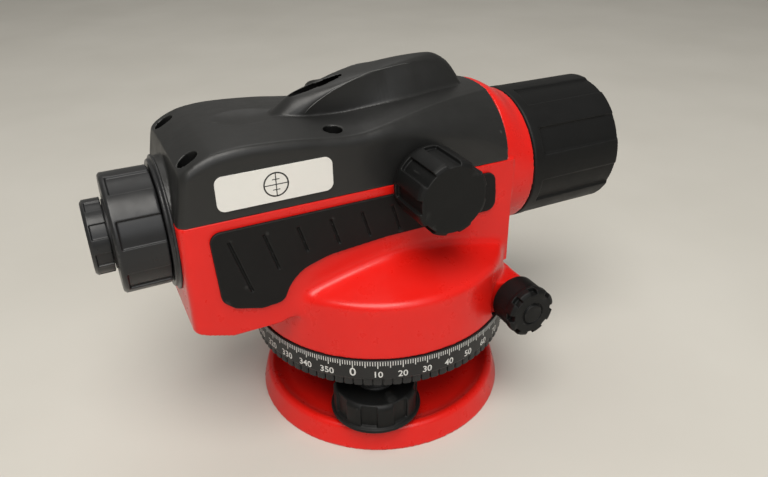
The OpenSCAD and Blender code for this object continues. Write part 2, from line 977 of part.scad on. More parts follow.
module focus_tube() {
  color(black)
    x_tube(focus_tube_r, focus_tube_r - 2, focus_tube_x, focus_tube_x + focus_tube_l);
}

module focus_lens() {
  color(glass)
    along_x(lens_half(focus_tube_r - 2.05, focus_tube_x + 4, 3, 0.8));
}

module focus_rack() {
  pitch = PI * 0.8;
  x0 = focus_x - focus_travel - 3;
  x1 = focus_tube_x + focus_tube_l - 1;
  teeth = floor((x1 - x0) / pitch);
  outline = concat(
    [[x0, rack_top - rack_h]],
    [[x0, rack_top - 1]],
    [
      for (k = [0:teeth - 1])
        let(x = x0 + k * pitch)
        each [
          [x + 0.15 * pitch, rack_top - 1], [x + 0.35 * pitch, rack_top],
          [x + 0.65 * pitch, rack_top], [x + 0.85 * pitch, rack_top - 1]
        ]
    ],
    [[x1, rack_top - 1], [x1, rack_top - rack_h]]
  );
  color(brass)
    difference() {
      translate([0, -rack_y + 2, 0])
        rotate([90, 0, 0])
          linear_extrude(rack_w + 2)
            polygon(outline);
      x_rod(focus_tube_r + seat_gap, x0 - 1, x1 + 1);
    }
}

module focus_bush() {
  color(brass)
    difference() {
      y_rod(focus_x, focus_z, focus_shaft_r + 2.5, -half_w - focus_boss_out, -inner_w);
      y_rod(focus_x, focus_z, focus_shaft_r + shaft_gap, -body_w, 0);
    }
}

module focus_shaft() {
  teeth = 8;
  tip = pinion_r;
  y_rack = rack_y + rack_w;
  y_end = rack_y + 1.2;
  color(steel)
    difference() {
      union() {
        y_rod(focus_x, focus_z, focus_shaft_r, -focus_knob_y - focus_knob_l + 4, -y_end);
        y_rod(focus_x, focus_z, tip, -y_rack, -y_end);
      }
      for (k = [0:teeth - 1])
        translate([focus_x, -y_end + 1, focus_z])
          rotate([90, 360 * k / teeth, 0])
            translate([tip - 0.9, -0.5, 0])
              cube([2, 1, y_rack - y_end + 2]);
    }
}

module focus_knob() {
  l = focus_knob_l;
  r = focus_knob_r;
  lobes = 8;
  flare_l = 2.4;
  lobe_depth = 1.4;
  bore = focus_shaft_r + seat_gap;
  bore_l = l - 4;
  profile = [
    [bore, 0], [r - 1.2, 0], [r - 0.4, 0.8], [r, flare_l], [r, l - 1.6], [r - 0.5, l - 0.5],
    [r - 1.6, l], [0, l], [0, bore_l + 0.1], [bore, bore_l + 0.1]
  ];
  color(black)
    translate([focus_x, -focus_knob_y, focus_z])
      rotate([90, 0, 0])
        difference() {
          rotate_extrude()
            polygon(profile);
          panels(r, lobe_depth, flare_l + 0.6, l + 1, lobes, 1);
        }
}

// Compensator: a prism that hangs on tapes, damped between magnets

module compensator_frame() {
  z0 = floor_z + floor_t;
  x0 = comp_x - comp_l / 2;
  x1 = comp_x + comp_l / 2;
  w = comp_w / 2;
  color(alloy)
    union() {
      box([x0 - 16, -w, z0], [x1, w, z0 + 3]);
      both_sides()
        box([x0 + 8, -w, z0], [x1 - 8, -w + comp_plate, comp_top]);
      box([comp_x - 3, -w, comp_top - 3], [comp_x + 3, w, comp_top]);
    }
}

module suspension_tapes() {
  color(steel)
    for (x = [comp_x - 2.4, comp_x + 2.1])
      both_sides()
        box([x, -pend_w / 2, pend_top + run_gap], [x + tape_t, -pend_w / 2 + 4, comp_top - 3]);
}

module pendulum() {
  w = pend_w / 2;
  vane_t = 2;
  color(alloy)
    difference() {
      union() {
        box([comp_x - pend_l / 2, -w, pend_low], [comp_x + pend_l / 2, w, pend_top]);
        box([comp_x - 7, -vane_t / 2, pend_low - 6], [comp_x + 7, vane_t / 2, pend_low]);
      }
      box(
        [comp_x - pend_l, -w + 2, pend_low + 2],
        [comp_x + pend_l, w - 2, pend_top - 2]
      );
    }
}

module pendulum_prism() {
  w = pend_w / 2 - 2;
  z0 = pend_low + 2;
  z1 = pend_top - 2;
  h = pend_l / 2;
  color(glass)
    rotate([90, 0, 0])
      linear_extrude(2 * w, center = true)
        polygon([[comp_x - h, z0], [comp_x + h, z0], [comp_x + h - 5, z1], [comp_x - h + 5, z1]]);
}

module damper_magnets() {
  z0 = floor_z + floor_t + 3;
  color(steel)
    both_sides()
      box([comp_x - 5, -7, z0], [comp_x + 5, -1 - 2 * run_gap, pend_low - 1]);
}

module roof_prism() {
  x1 = comp_x - comp_l / 2 - 4;
  roof_l = 11;
  roof_w = 18;
  roof_top = 9;
  bevel = 7;
  x0 = x1 - roof_l;
  z0 = floor_z + floor_t + 3;
  z1 = axis_z + roof_top;
  color(glass)
    rotate([90, 0, 0])
      linear_extrude(roof_w, center = true)
        polygon([[x0, z0], [x1, z0], [x1, z1 - bevel], [x1 - bevel, z1], [x0, z1]]);
}

// Reticle and eyepiece

reticle_end = -body_rear + 17;

module reticle_cell() {
  color(black)
    x_tube(reticle_r, eye_bore_r + run_gap, -body_rear, reticle_end);
}

module reticle_glass() {
  color(glass)
    x_rod(eye_bore_r + run_gap - seat_gap, reticle_end - 2, reticle_end);
}

module eyepiece_flange() {
  ridge = eye_flange_r - eye_flange_step;
  groove = ridge - 0.7;
  color(black)
    along_x([
      [eye_bore_r, eye_cover_end + 2], [eye_tube_r, eye_cover_end + 2], [eye_tube_r, eye_x],
      [ridge - 0.3, eye_x], [ridge, eye_x + 0.3], [ridge, eye_x + 0.7], [groove, eye_x + 0.8],
      [groove, eye_x + 1.1], [eye_flange_r - 0.3, eye_x + 1.2], [eye_flange_r, eye_x + 1.4],
      [eye_flange_r, -body_rear], [eye_bore_r, -body_rear]
    ]);
}

module eyepiece_cover() {
  x0 = eye_cover_end;
  x1 = x0 + eye_cover_l;
  eye_panel = 0.8;
  color(black)
    difference() {
      along_x([
        [dioptre_r + 0.6, x0], [eye_cover_r - 0.8, x0], [eye_cover_r, x0 + 0.8],
        [eye_cover_r, x1 - 0.4], [eye_cover_r - 0.4, x1], [eye_tube_r + seat_gap, x1],
        [eye_tube_r + seat_gap, x0 + 2], [dioptre_r + 0.6, x0 + 2]
      ]);
      x_panels(eye_cover_r, eye_panel, x0 + 1.8, x1 + 1, 7, 17);
    }
}

dioptre_x1 = eye_cover_end - dioptre_gap;
dioptre_x0 = eye_cover_end - dioptre_l - 0.1;
eye_barrel_r = eye_bore_r - run_gap;
eye_spigot_r = eye_barrel_r - 1.8;

module eyepiece_barrel() {
  in_r = eye_spigot_r - 1.6;
  color(black)
    along_x([
      [in_r, dioptre_x0 + 1.5], [eye_spigot_r, dioptre_x0 + 1.5], [eye_spigot_r, dioptre_x1],
      [eye_barrel_r, dioptre_x1], [eye_barrel_r, reticle_end - 2 - eye_travel - 2],
      [in_r, reticle_end - 2 - eye_travel - 2]
    ]);
}

module eyepiece_lens() {
  in_r = eye_spigot_r - 1.6;
  color(glass)
    along_x(lens_half(in_r - seat_gap, dioptre_x0 + 4, 3, 0.9));
}

module dioptre_ring() {
  color(black)
    difference() {
      along_x([
        [eye_spigot_r - 2.2, dioptre_x0], [dioptre_r - 0.9, dioptre_x0],
        [dioptre_r, dioptre_x0 + 0.9], [dioptre_r, dioptre_x1 - 0.3],
        [dioptre_r - 0.3, dioptre_x1 - 0.3], [eye_spigot_r + run_gap, dioptre_x1 - 0.3],
        [eye_spigot_r + run_gap, dioptre_x0 + 1.2], [eye_spigot_r - 2.2, dioptre_x0 + 1.2]
      ]);
      x_panels(dioptre_r, 0.6, dioptre_x0 + 1.2, dioptre_x1, 8, 13);
    }
}

// Cover: a moulded lid whose section turns from a box at the rear to an arch at
// the front, with a sighting ridge along its middle

cover_x0 = -body_rear;
cover_l = cover_x1 - cover_x0;

// Along the cover, 0 at the rear to 1 at the front: height of the side edge over
// the seam, reach of the shoulder below it, and rise of the middle over the edge,
// each as a share of its greatest value, and the angle through which the shoulder turns
edge_sweep = 16.8;
crown_h = 2.6;
edge_rise = [
  [0, 0.72], [0.033, 0.81], [0.059, 0.866], [0.11, 0.931], [0.161, 0.966], [0.2, 0.974], [0.266, 0.961],
  [0.333, 0.936], [0.374, 0.914], [0.424, 0.88], [0.48, 0.854], [0.532, 0.858], [0.58, 0.893],
  [0.69, 0.961], [0.8, 1], [0.89, 1], [0.95, 0.985], [1, 0.961]
];
edge_round = [
  [0, 0.143], [0.48, 0.15], [0.58, 0.17], [0.69, 0.31], [0.8, 0.524], [0.89, 0.69], [0.95, 0.845], [1, 1]
];
edge_turn = [[0, 90], [0.48, 90], [0.58, 80], [0.69, 68], [0.8, 60], [1, 55]];
crown_rise = [[0, 0.3], [0.2, 0.35], [0.4, 0.55], [0.5, 0.6], [0.6, 0.5], [1, 0.4]];

function cover_half(x, inset) =
  let(r = max(corner_r - inset, 0.5), d = max(0, cover_x0 + inset + r - x))
  half_w - inset - (r - sqrt(max(0, r * r - d * d)));

// Lean of the rear face, forwards for each mm of height, and the length over which it fades
rear_lean = 0.2;
rear_reach = 14;

function lean_at(x, inset) = rear_lean * max(0, 1 - (x - cover_x0 - inset) / rear_reach);

// One section of the cover at a place x, drawn in by an inset
function cover_ring(x, inset, foot_z) =
  let(t = (x - cover_x0) / cover_l, w = cover_half(x, inset))
  let(a = min(max(edge_sweep * curve(t, edge_round) - inset, 1), w - 1))
  let(top = seam_z + edge_h * curve(t, edge_rise) - inset)
  let(b = min(1.3 * a + 0.6, top - seam_z - 0.8), e = w - a, rise = crown_h * curve(t, crown_rise))
  let(turn = curve(t, edge_turn), k = cos(turn), lean = lean_at(x, inset))
  let(side = concat(
    [[w, foot_z]],
    [
      for (i = [0:7])
        let(q = turn * i / 7)
        [e + a * (cos(q) - k) / (1 - k), top - b + b * sin(q) / sin(turn)]
    ],
    [for (i = [1:5]) let(y = e * (1 - i / 5)) [y, top + rise * (1 - pow(y / e, 2))]]
  ))
  let(leant = [for (p = side) [x + lean * (p[1] - seam_z), p[0], p[1]]])
  concat(
    [for (p = leant) [p[0], -p[1], p[2]]],
    [for (i = [len(side) - 2:-1:0]) leant[i]]
  );

module cover_skin(inset, x0, x1, foot_z, steps) {
  round_end = corner_r / (x1 - x0);
  ends = [0, 0.1, 0.25, 0.5, 0.75];
  places = concat(
    [for (e = ends) e * round_end],
    [for (i = [0:steps]) round_end + (1 - round_end) * i / steps]
  );
  loft([for (t = places) cover_ring(x0 + t * (x1 - x0), inset, foot_z)]);
}

// Sighting ridge, 0 at its tail to 1 at its nose: height of the ridge as a share
// of its peak, share of its greatest half width at the cover's skin, height of the
// crease along its side, and how far the side leans inwards below the crease
ridge_x0 = -body_rear + 37;
ridge_x1 = body_front - 7.5;
ridge_w = 10.3;
ridge_foot = 12;
ridge_base = 22.5;
ridge_rise = [
  [0, 0.56], [0.05, 0.64], [0.13, 0.766], [0.2, 0.815], [0.33, 0.879], [0.42, 0.917], [0.52, 0.948],
  [0.62, 0.978], [0.72, 0.997], [0.8, 1], [0.84, 0.986], [0.88, 0.94], [0.915, 0.876],
  [0.955, 0.752], [0.98, 0.661], [1, 0.57]
];
ridge_half = [
  [0, 0.25], [0.05, 0.45], [0.1, 0.56], [0.153, 0.62], [0.267, 0.61], [0.364, 0.68], [0.466, 0.806],
  [0.577, 0.95], [0.65, 0.96], [0.71, 0.925], [0.854, 0.75], [0.9375, 0.545], [0.98, 0.33], [1, 0.136]
];
ridge_crease = [
  [0, 0.537], [0.1, 0.573], [0.153, 0.609], [0.19, 0.68], [0.229, 0.73], [0.3, 0.8085], [0.359, 0.858],
  [0.483, 0.9256], [0.562, 0.9394], [0.652, 0.9504], [0.73, 0.945], [0.8, 0.925], [0.855, 0.87],
  [0.915, 0.77], [0.955, 0.66], [1, 0.54]
];
ridge_lean = [
  [0, 0], [0.28, 0], [0.36, 0.05], [0.483, 0.225], [0.562, 0.4], [0.65, 0.44], [0.85, 0.42], [1, 0.3]
];

function ridge_ring(t) =
  let(x = ridge_x0 + t * (ridge_x1 - ridge_x0), foot = seam_z + ridge_foot)
  let(w = ridge_w * curve(t, ridge_half), c = seam_z + sight_h * curve(t, ridge_crease))
  let(top = max(seam_z + sight_h * curve(t, ridge_rise), c + 0.3))
  let(lean = curve(t, ridge_lean), v = max(w - lean * (c - seam_z - ridge_base), 0.8))
  let(side = concat(
    [[w + lean * (ridge_base - ridge_foot), foot], [v, c]],
    [for (i = [1:6]) let(q = 90 * i / 6) [v * cos(q), c + (top - c) * sin(q)]]
  ))
  concat(
    [for (p = side) [x, -p[0], p[1]]],
    [for (i = [len(side) - 2:-1:0]) [x, side[i][0], side[i][1]]]
  );

module ridge() {
  steps = 52;
  loft([for (i = [0:steps]) ridge_ring(i / steps)]);
}

// Shallow thumb scoop behind the ridge
module scoop() {
  deep = 5;
  long = 19.6;
  wide = 11.5;
  keep = 1.1;
  x = ridge_x0 - 4;
  t = (x - cover_x0) / cover_l;
  skin_h = edge_h * curve(t, edge_rise) + crown_h * curve(t, crown_rise);
  translate([x, 0, seam_z + skin_h - cover_wall + keep + deep])
    scale([long, wide, deep])
      sphere(r = 1, $fn = 32);
}

sight_share = 0.83;
sight_z = seam_z + sight_share * sight_h;

module cover_hole(x, y) {
  translate([x, y, screw_floor])
    cylinder(r = cover_hole_r, h = 40);
  translate([x, y, seam_z - 1])
    cylinder(r = m3_r + 0.2, h = 10);
}

module cover_boss(x, y) {
  boss_wall = 1.4;
  translate([x, y, seam_z])
    cylinder(r = cover_hole_r + boss_wall, h = edge_h - cover_wall);
}

// Collar between the leaning rear face and the eyepiece flange
module eye_collar() {
  collar_step = 0.5;
  intersection() {
    x_rod(eye_flange_r - collar_step, -body_rear, -body_rear + rear_lean * edge_h);
    translate([-2 * body_rear, -body_w, seam_z])
      cube([2 * body_rear, 2 * body_w, 2 * edge_h]);
  }
}

module top_cover() {
  color(black)
    difference() {
      union() {
        eye_collar();
        difference() {
          cover_skin(0, cover_x0, cover_x1, seam_z, 46);
          scoop();
        }
        ridge();
      }
      difference() {
        cover_skin(cover_wall, cover_x0 + cover_wall, barrel_x0 - spigot_l, seam_z - 1, 20);
        both_sides() {
          cover_boss(screw_rear_x, -screw_rear_y);
          cover_boss(screw_mid_x, -screw_mid_y);
        }
      }
      x_rod(spigot_r + cover_gap, barrel_x0 - spigot_l - 1, body_front + 1);
      x_rod(reticle_r + 0.2, -body_rear - 1, -body_rear + wall + 1);
      y_rod(focus_x, focus_z, focus_boss_r + run_gap, -body_w, 0);
      translate([0, 0, sight_z - axis_z]) {
        x_rod(sight_r, ridge_x0 - 4, 6);
        x_rod(sight_r - 1, 5, ridge_x1 + 2);
      }
      both_sides() {
        cover_hole(screw_rear_x, -screw_rear_y);
        cover_hole(screw_mid_x, -screw_mid_y);
      }
    }
}

module cover_screws() {
  head_h = 2.4;
  color(steel)
    both_sides()
      for (p = [[screw_rear_x, -screw_rear_y], [screw_mid_x, -screw_mid_y]])
        translate([p[0], p[1], screw_floor])
          difference() {
            union() {
              cylinder(r = cover_hole_r - 0.5, h = head_h);
              translate([0, 0, -10])
                cylinder(r = m3_r, h = 10 + eps);
            }
            for (a = [0, 90])
              rotate(a)
                translate([-1.7, -0.35, head_h - 1.2])
                  cube([3.4, 0.7, 2]);
          }
}

module sight_lens() {
  color(glass)
    translate([0, 0, sight_z - axis_z])
      x_rod(sight_r - seat_gap, 3, 5);
}

module label_plate() {
  t = 0.5;
  r = 2.6;
  x0 = -body_rear + 12.8;
  z0 = seam_z + 3.4;
  color(white)
    translate([x0, -half_w, z0])
      rotate([90, 0, 0])
        linear_extrude(t)
          union() {
            translate([r, 0])
              square([label_w - 2 * r, label_h]);
            translate([0, r])
              square([label_w, label_h - 2 * r]);
            for (x = [r, label_w - r], z = [r, label_h - r])
              translate([x, z])
                circle(r = r);
          }
}

// Side grips: ribbed rubber pads on the housing's sides

grip_round = 3.6;
grip_fillet = 12;
grip_top = seam_z - 3;
grip_x0 = -body_rear + 9;
grip_x1 = body_front - 8;
grip_deep = 31;
grip_strip = 15.8;
grip_heel = 22;

// Outline of the pad: deep behind, then a narrow strip along the seam
module grip_shape(x1) {
  low = grip_top - grip_deep;
  strip = grip_top - grip_strip;
  heel_x = grip_x0 + grip_heel;
  front = grip_x1;
  r = grip_round;
  q = grip_fillet;
  offset(r = r, $fn = 32)
    offset(r = -r - q, $fn = 32)
      offset(r = q, $fn = 64)
        intersection() {
          polygon([
            [grip_x0 - 0.3, grip_top], [grip_x0 + 1, low + 6], [grip_x0 + 5, low + 2.2],
            [grip_x0 + 14, low - 0.4], [heel_x, low + 0.2], [heel_x + 1.6, low + 5],
            [heel_x + 6.5, low + 10.6], [heel_x + 17, low + 13.6], [front - 46, strip],
            [front + 0.6, strip + 0.4], [front - 0.8, grip_top]
          ]);
          translate([-body_rear, low - 5])
            square([body_rear + x1, grip_deep + 10]);
        }
}

// Slanted grooves, parallel and evenly spaced, that stop short of the pad's edges
module grip_grooves(x1) {
  spacing = 11.5;
  lean = 0.29;
  edge = 4;
  groove_w = 1;
  first = grip_x0 + 5;
  z1 = grip_top - edge;
  drops = [grip_deep - 11, grip_deep - 17, grip_strip - 5.9];
  for (k = [0:floor((x1 - first - 2 * edge) / spacing)]) {
    x = first + spacing * k;
    drop = drops[min(k, 2)];
    polygon([
      [x, z1], [x + groove_w, z1],
      [x + groove_w + lean * drop, z1 - drop], [x + lean * drop, z1 - drop]
    ]);
  }
}

module grip(x1) {
  groove = 0.8;
  translate([0, -half_w, 0])
    rotate([90, 0, 0])
      difference() {
        linear_extrude(grip_t)
          grip_shape(x1);
        translate([0, 0, grip_t - groove])
          linear_extrude(groove + 1)
            grip_grooves(x1);
      }
}

module right_grip() {
  color(black)
    difference() {
      grip(grip_x1);
      y_rod(focus_x, focus_z, focus_boss_r + run_gap, -body_w, 0);
    }
}

module left_grip() {
  color(black)
    mirror([0, 1, 0])
      grip(vial_x - cup_r - vial_room);
}

// Circular level: a round vial in a cup on the left side, seen through a prism

module vial_cup() {
  color(black)
    difference() {
      union() {
        translate([vial_x, vial_y, vial_z])
          cylinder(r = cup_r, h = cup_h);
        box(
          [vial_x - cup_r + 2, half_w, vial_z],
          [vial_x + cup_r - 2, vial_y, vial_z + cup_h - 2]
        );
      }
      translate([vial_x, vial_y, vial_z + 3])
        cylinder(r = vial_r + 0.1, h = cup_h);
      for (a = [30, 150, 270])
        translate([vial_x + (vial_r - 3) * cos(a), vial_y + (vial_r - 3) * sin(a), vial_z - 1])
          cylinder(r = 1.1 + seat_gap, h = cup_h);
    }
}

module circular_vial() {
  profile = [
    [0, 3], [vial_r, 3], [vial_r, cup_h - 0.6], [vial_r - 1, cup_h - 0.3],
    [vial_r - 3, cup_h + 0.1], [0, cup_h + 0.4]
  ];
  color([0.80, 0.86, 0.42])
    translate([vial_x, vial_y, vial_z])
      rotate_extrude()
        polygon(profile);
}

module vial_screws() {
  color(steel)
    for (a = [30, 150, 270])
      translate([vial_x + (vial_r - 3) * cos(a), vial_y + (vial_r - 3) * sin(a), vial_z])
        difference() {
          union() {
            cylinder(r = 1.1, h = 2.9);
            translate([0, 0, -1])
              cylinder(r = 2, h = 1);
          }
          translate([-3, -0.3, -2])
            cube([6, 0.6, 1.5]);
        }
}

vial_hood_z = vial_z + cup_h + 1;
vial_hood_h = 17.6;
vial_hood_t = 1.6;
vial_mirror = 7;

// Arch across the vial, drawn in by an inset, from x0 to x1
module vial_arch(inset, x0, x1) {
  r = cup_r - inset;
  side = vial_hood_h - cup_r;
  translate([x0, vial_y, vial_hood_z])
    rotate([90, 0, 90])
      linear_extrude(x1 - x0)
        union() {
          translate([0, side])
            circle(r = r);
          translate([-r, 0])
            square([2 * r, side]);
        }
}

// Hood over the vial, open towards the observer at the rear
module vial_hood() {
  x0 = vial_x - cup_r;
  x1 = vial_x + cup_r;
  z0 = vial_hood_z;
  z1 = z0 + vial_hood_h;
  color(black)
    difference() {
      union() {
        intersection() {
          vial_arch(0, x0, x1);
          rotate([90, 0, 0])
            translate([0, 0, -vial_y])
              linear_extrude(3 * cup_r, center = true)
                polygon(concat(
                  [[x0, z0], [x1, z0]],
                  arc([x1 - 6, z1 - 6], 6, 0, 90),
                  arc([x0 + 4, z1 - 4], 4, 90, 180)
                ));
        }
        translate([vial_x, vial_y, vial_z + cup_h])
          cylinder(r = cup_r, h = 1 + eps);
      }
      vial_arch(vial_hood_t, x0 - 1, x1 - vial_mirror);
      translate([vial_x, vial_y, vial_z + cup_h - 1])
        cylinder(r = vial_r - 0.5, h = 3);
    }
}

module vial_prism() {
  x1 = vial_x + cup_r - vial_mirror;
  z1 = vial_hood_z + vial_hood_h - vial_hood_t;
  s = 12;
  color(glass)
    intersection() {
      vial_arch(vial_hood_t + seat_gap, x1 - s, x1);
      rotate([90, 0, 0])
        translate([0, 0, -vial_y])
          linear_extrude(2 * cup_r, center = true)
            polygon([[x1 - s, z1], [x1, z1], [x1, z1 - s]]);
    }
}

base_plate();
foot_spring_plate();
spring_plate_screws();
foot_screw_a();
foot_screw_b();
foot_screw_c();
foot_knob_a();
foot_knob_b();
foot_knob_c();
levelling_head();
axis_bush();
foot_screw_bushes();
horizontal_circle();
worm_wheel();
friction_washer();
main_housing();
vertical_axle();
axle_nut();
worm_bushes();
worm_shaft();
tangent_knob_right();
tangent_knob_left();
objective_cell();
objective_lens();
objective_retainer();
objective_hood();
focus_guide();
focus_tube();
focus_lens();
focus_rack();
focus_bush();
focus_shaft();
focus_knob();
compensator_frame();
suspension_tapes();
damper_magnets();
roof_prism();
pendulum();
pendulum_prism();
reticle_cell();
reticle_glass();
eyepiece_flange();
eyepiece_cover();
eyepiece_barrel();
eyepiece_lens();
dioptre_ring();
top_cover();
cover_screws();
sight_lens();
label_plate();
right_grip();
left_grip();
vial_cup();
circular_vial();
vial_screws();
vial_hood();
vial_prism();
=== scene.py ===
"""Looks of the automatic level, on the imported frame: metres, +X is the line of sight, +Z is up."""

import json
import math

import bmesh
import bpy
import numpy as np
from mathutils import Matrix, Vector


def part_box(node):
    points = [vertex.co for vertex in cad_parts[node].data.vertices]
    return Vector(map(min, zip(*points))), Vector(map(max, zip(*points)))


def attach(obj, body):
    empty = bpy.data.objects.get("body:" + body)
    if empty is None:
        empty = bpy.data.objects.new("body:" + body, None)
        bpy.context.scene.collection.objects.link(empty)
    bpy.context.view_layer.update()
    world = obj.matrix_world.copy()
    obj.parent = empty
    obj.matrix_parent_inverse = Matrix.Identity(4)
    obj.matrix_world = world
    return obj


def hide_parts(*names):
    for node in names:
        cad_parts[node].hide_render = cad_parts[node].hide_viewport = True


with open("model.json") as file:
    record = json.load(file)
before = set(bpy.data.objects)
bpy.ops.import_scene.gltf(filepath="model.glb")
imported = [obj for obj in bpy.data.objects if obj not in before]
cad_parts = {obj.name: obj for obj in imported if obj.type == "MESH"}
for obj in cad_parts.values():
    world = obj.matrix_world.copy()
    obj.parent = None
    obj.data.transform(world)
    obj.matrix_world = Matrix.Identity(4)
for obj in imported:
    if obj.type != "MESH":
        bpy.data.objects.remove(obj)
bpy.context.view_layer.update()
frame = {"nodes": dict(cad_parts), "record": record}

# Millimetre in the frame's metres, and a distance in millimetres that is beyond every fade
MM = 0.001
FAR = 99.0
NODES = frame["nodes"]
BODY = {n: b for b, ns in frame["record"]["behaviour"]["bodies"].items() for n in ns}
SLOT = {s["node"]: s["material_slot"] for s in frame["record"]["subparts"]}


# Materials

NOISE_SPAN = (0.3, 0.7)
# Patchiness of the lightened edges, which are partly wear and partly painted highlight
EDGE_WEAR_AND_SHEEN_SCALE = 420
EDGE_WEAR_AND_SHEEN_SPAN = (0.35, 0.65)
EDGE_WEAR_AND_SHEEN_LEAST = 0.25
BUMP_STRENGTH = 0.35
# Painted shade in hollows: the width of its fade, its near-black colour and its low gloss
HOLLOW_FADE = 0.2
HOLLOW_PAINTED_SHADE = (0.0008, 0.0008, 0.0008)
HOLLOW_GLOSS = 0.02
GLASS_IOR = 1.52
FILM_SCALE = 160
FILM_SMEAR = 0.03


def socket(node, **values):
    """Sets constants on a node's sockets by name, with underscores for spaces."""
    for key, value in values.items():
        node.inputs[key.replace("_", " ")].default_value = value
    return node


def noise(tree, scale, detail, roughness=0.5):
    """Noise over the piece's own coordinates, so that it stays put when the piece moves."""
    coords = tree.nodes.new("ShaderNodeTexCoord")
    tex = socket(tree.nodes.new("ShaderNodeTexNoise"), Scale=scale, Detail=detail, Roughness=roughness)
    tree.links.new(coords.outputs["Object"], tex.inputs["Vector"])
    return tex.outputs["Fac"]


def spread(tree, value, low, high, out_low, out_high):
    """A value mapped from one range to another, and held at its ends."""
    node = socket(
        tree.nodes.new("ShaderNodeMapRange"),
        From_Min=low, From_Max=high, To_Min=out_low, To_Max=out_high,
    )
    tree.links.new(value, node.inputs["Value"])
    return node.outputs["Result"]


def combine(tree, operation, a, b):
    """Two values joined by the named operation."""
    node = tree.nodes.new("ShaderNodeMath")
    node.operation = operation
    tree.links.new(a, node.inputs[0])
    tree.links.new(b, node.inputs[1])
    return node.outputs["Value"]


def blend_colours(tree, factor, first, second):
    """Mix of two colours, each a tuple or an output, by a factor."""
    node = tree.nodes.new("ShaderNodeMix")
    node.data_type = "RGBA"
    tree.links.new(factor, node.inputs["Factor"])
    for key, colour in (("A", first), ("B", second)):
        inlet = next(i for i in node.inputs if i.name == key and i.type == "RGBA")
        if isinstance(colour, tuple):
            inlet.default_value = (*colour, 1)
        else:
            tree.links.new(colour, inlet)
    return next(o for o in node.outputs if o.type == "RGBA")


def inside(tree, hollows):
    """1 in any of the hollows, 0 elsewhere. Each hollow is a mask across its axis, a centre and a
    radius, in millimetres."""
    coords = tree.nodes.new("ShaderNodeTexCoord")
    total = None
    for mask, centre, radius in hollows:
        across = tree.nodes.new("ShaderNodeVectorMath")
        across.operation = "MULTIPLY_ADD"
        across.inputs[1].default_value = mask
        across.inputs[2].default_value = tuple(-c * m * MM for c, m in zip(centre, mask))
        tree.links.new(coords.outputs["Object"], across.inputs[0])
        length = tree.nodes.new("ShaderNodeVectorMath")
        length.operation = "LENGTH"
        tree.links.new(across.outputs["Vector"], length.inputs[0])
        near = spread(tree, length.outputs["Value"], radius * MM, (radius + HOLLOW_FADE) * MM, 1, 0)
        total = combine(tree, "MAXIMUM", total, near) if total else near
    return total


def finish(
    name, colour, roughness, *, tint=0.08, patch=28, smudge=0.06, smudge_scale=140, grain=2600,
    grain_depth=0.012, edge=None, edge_share=0.5, edge_span=(0.508, 0.57), hollows=(), **constants,
):
    """Painted, moulded or turned finish: patches of tone, smudged gloss, a grain, edges made lighter
    as wear and as painted highlight, and painted shade in the hollows.
    """
    mat = bpy.data.materials.new(name)
    mat.use_nodes = True
    tree = mat.node_tree
    bsdf = socket(tree.nodes["Principled BSDF"], **constants)
    dark = tuple(c * (1 - tint) for c in colour)
    light = tuple(min(1, c * (1 + tint)) for c in colour)
    tone = spread(tree, noise(tree, patch, detail=5), *NOISE_SPAN, 0, 1)
    base = blend_colours(tree, tone, dark, light)
    # Lighter convex edges, found by pointiness and made patchy: partly wear, partly a painted
    # highlight where edges catch the lamp
    if edge:
        geometry = tree.nodes.new("ShaderNodeNewGeometry")
        edge_wear_and_sheen = spread(tree, geometry.outputs["Pointiness"], *edge_span, 0, edge_share)
        uneven = noise(tree, EDGE_WEAR_AND_SHEEN_SCALE, detail=4, roughness=0.6)
        patchy = spread(tree, uneven, *EDGE_WEAR_AND_SHEEN_SPAN, EDGE_WEAR_AND_SHEEN_LEAST, 1)
        base = blend_colours(tree, combine(tree, "MULTIPLY", edge_wear_and_sheen, patchy), base, edge)
    # Painted shade: the hollows are coloured near-black and lose their gloss, as if no light reached
    # inside
    if hollows:
        painted_shade_share = inside(tree, hollows)
        base = blend_colours(tree, painted_shade_share, base, HOLLOW_PAINTED_SHADE)
        matt = spread(tree, painted_shade_share, 0, 1, constants["Specular_IOR_Level"], HOLLOW_GLOSS)
        tree.links.new(matt, bsdf.inputs["Specular IOR Level"])
    tree.links.new(base, bsdf.inputs["Base Color"])
    smudges = noise(tree, smudge_scale, detail=4, roughness=0.6)
    gloss = spread(tree, smudges, *NOISE_SPAN, roughness - smudge, roughness + smudge)
    tree.links.new(gloss, bsdf.inputs["Roughness"])
    bump = socket(tree.nodes.new("ShaderNodeBump"), Strength=BUMP_STRENGTH, Distance=grain_depth * MM)
    tree.links.new(noise(tree, grain, detail=2), bump.inputs["Height"])
    tree.links.new(bump.outputs["Normal"], bsdf.inputs["Normal"])
    return mat


# The cover's sighting bore and screw holes, given painted shade: near-black inside where light would
# not reach
SIGHT_Z = 130.1
SIGHT_R = 2.3
SCREW_HOLES = ((-71.5, 19.2), (-24.0, 19.0))
HOLE_R = 3.2
HOLLOW_EDGE = 0.1
ACROSS_X = (0, 1, 1)
ACROSS_Z = (1, 1, 0)
COVER_HOLLOWS = [(ACROSS_X, (0, 0, SIGHT_Z), SIGHT_R + HOLLOW_EDGE)] + [
    (ACROSS_Z, (x, side * y, 0), HOLE_R - HOLLOW_EDGE) for x, y in SCREW_HOLES for side in (-1, 1)
]

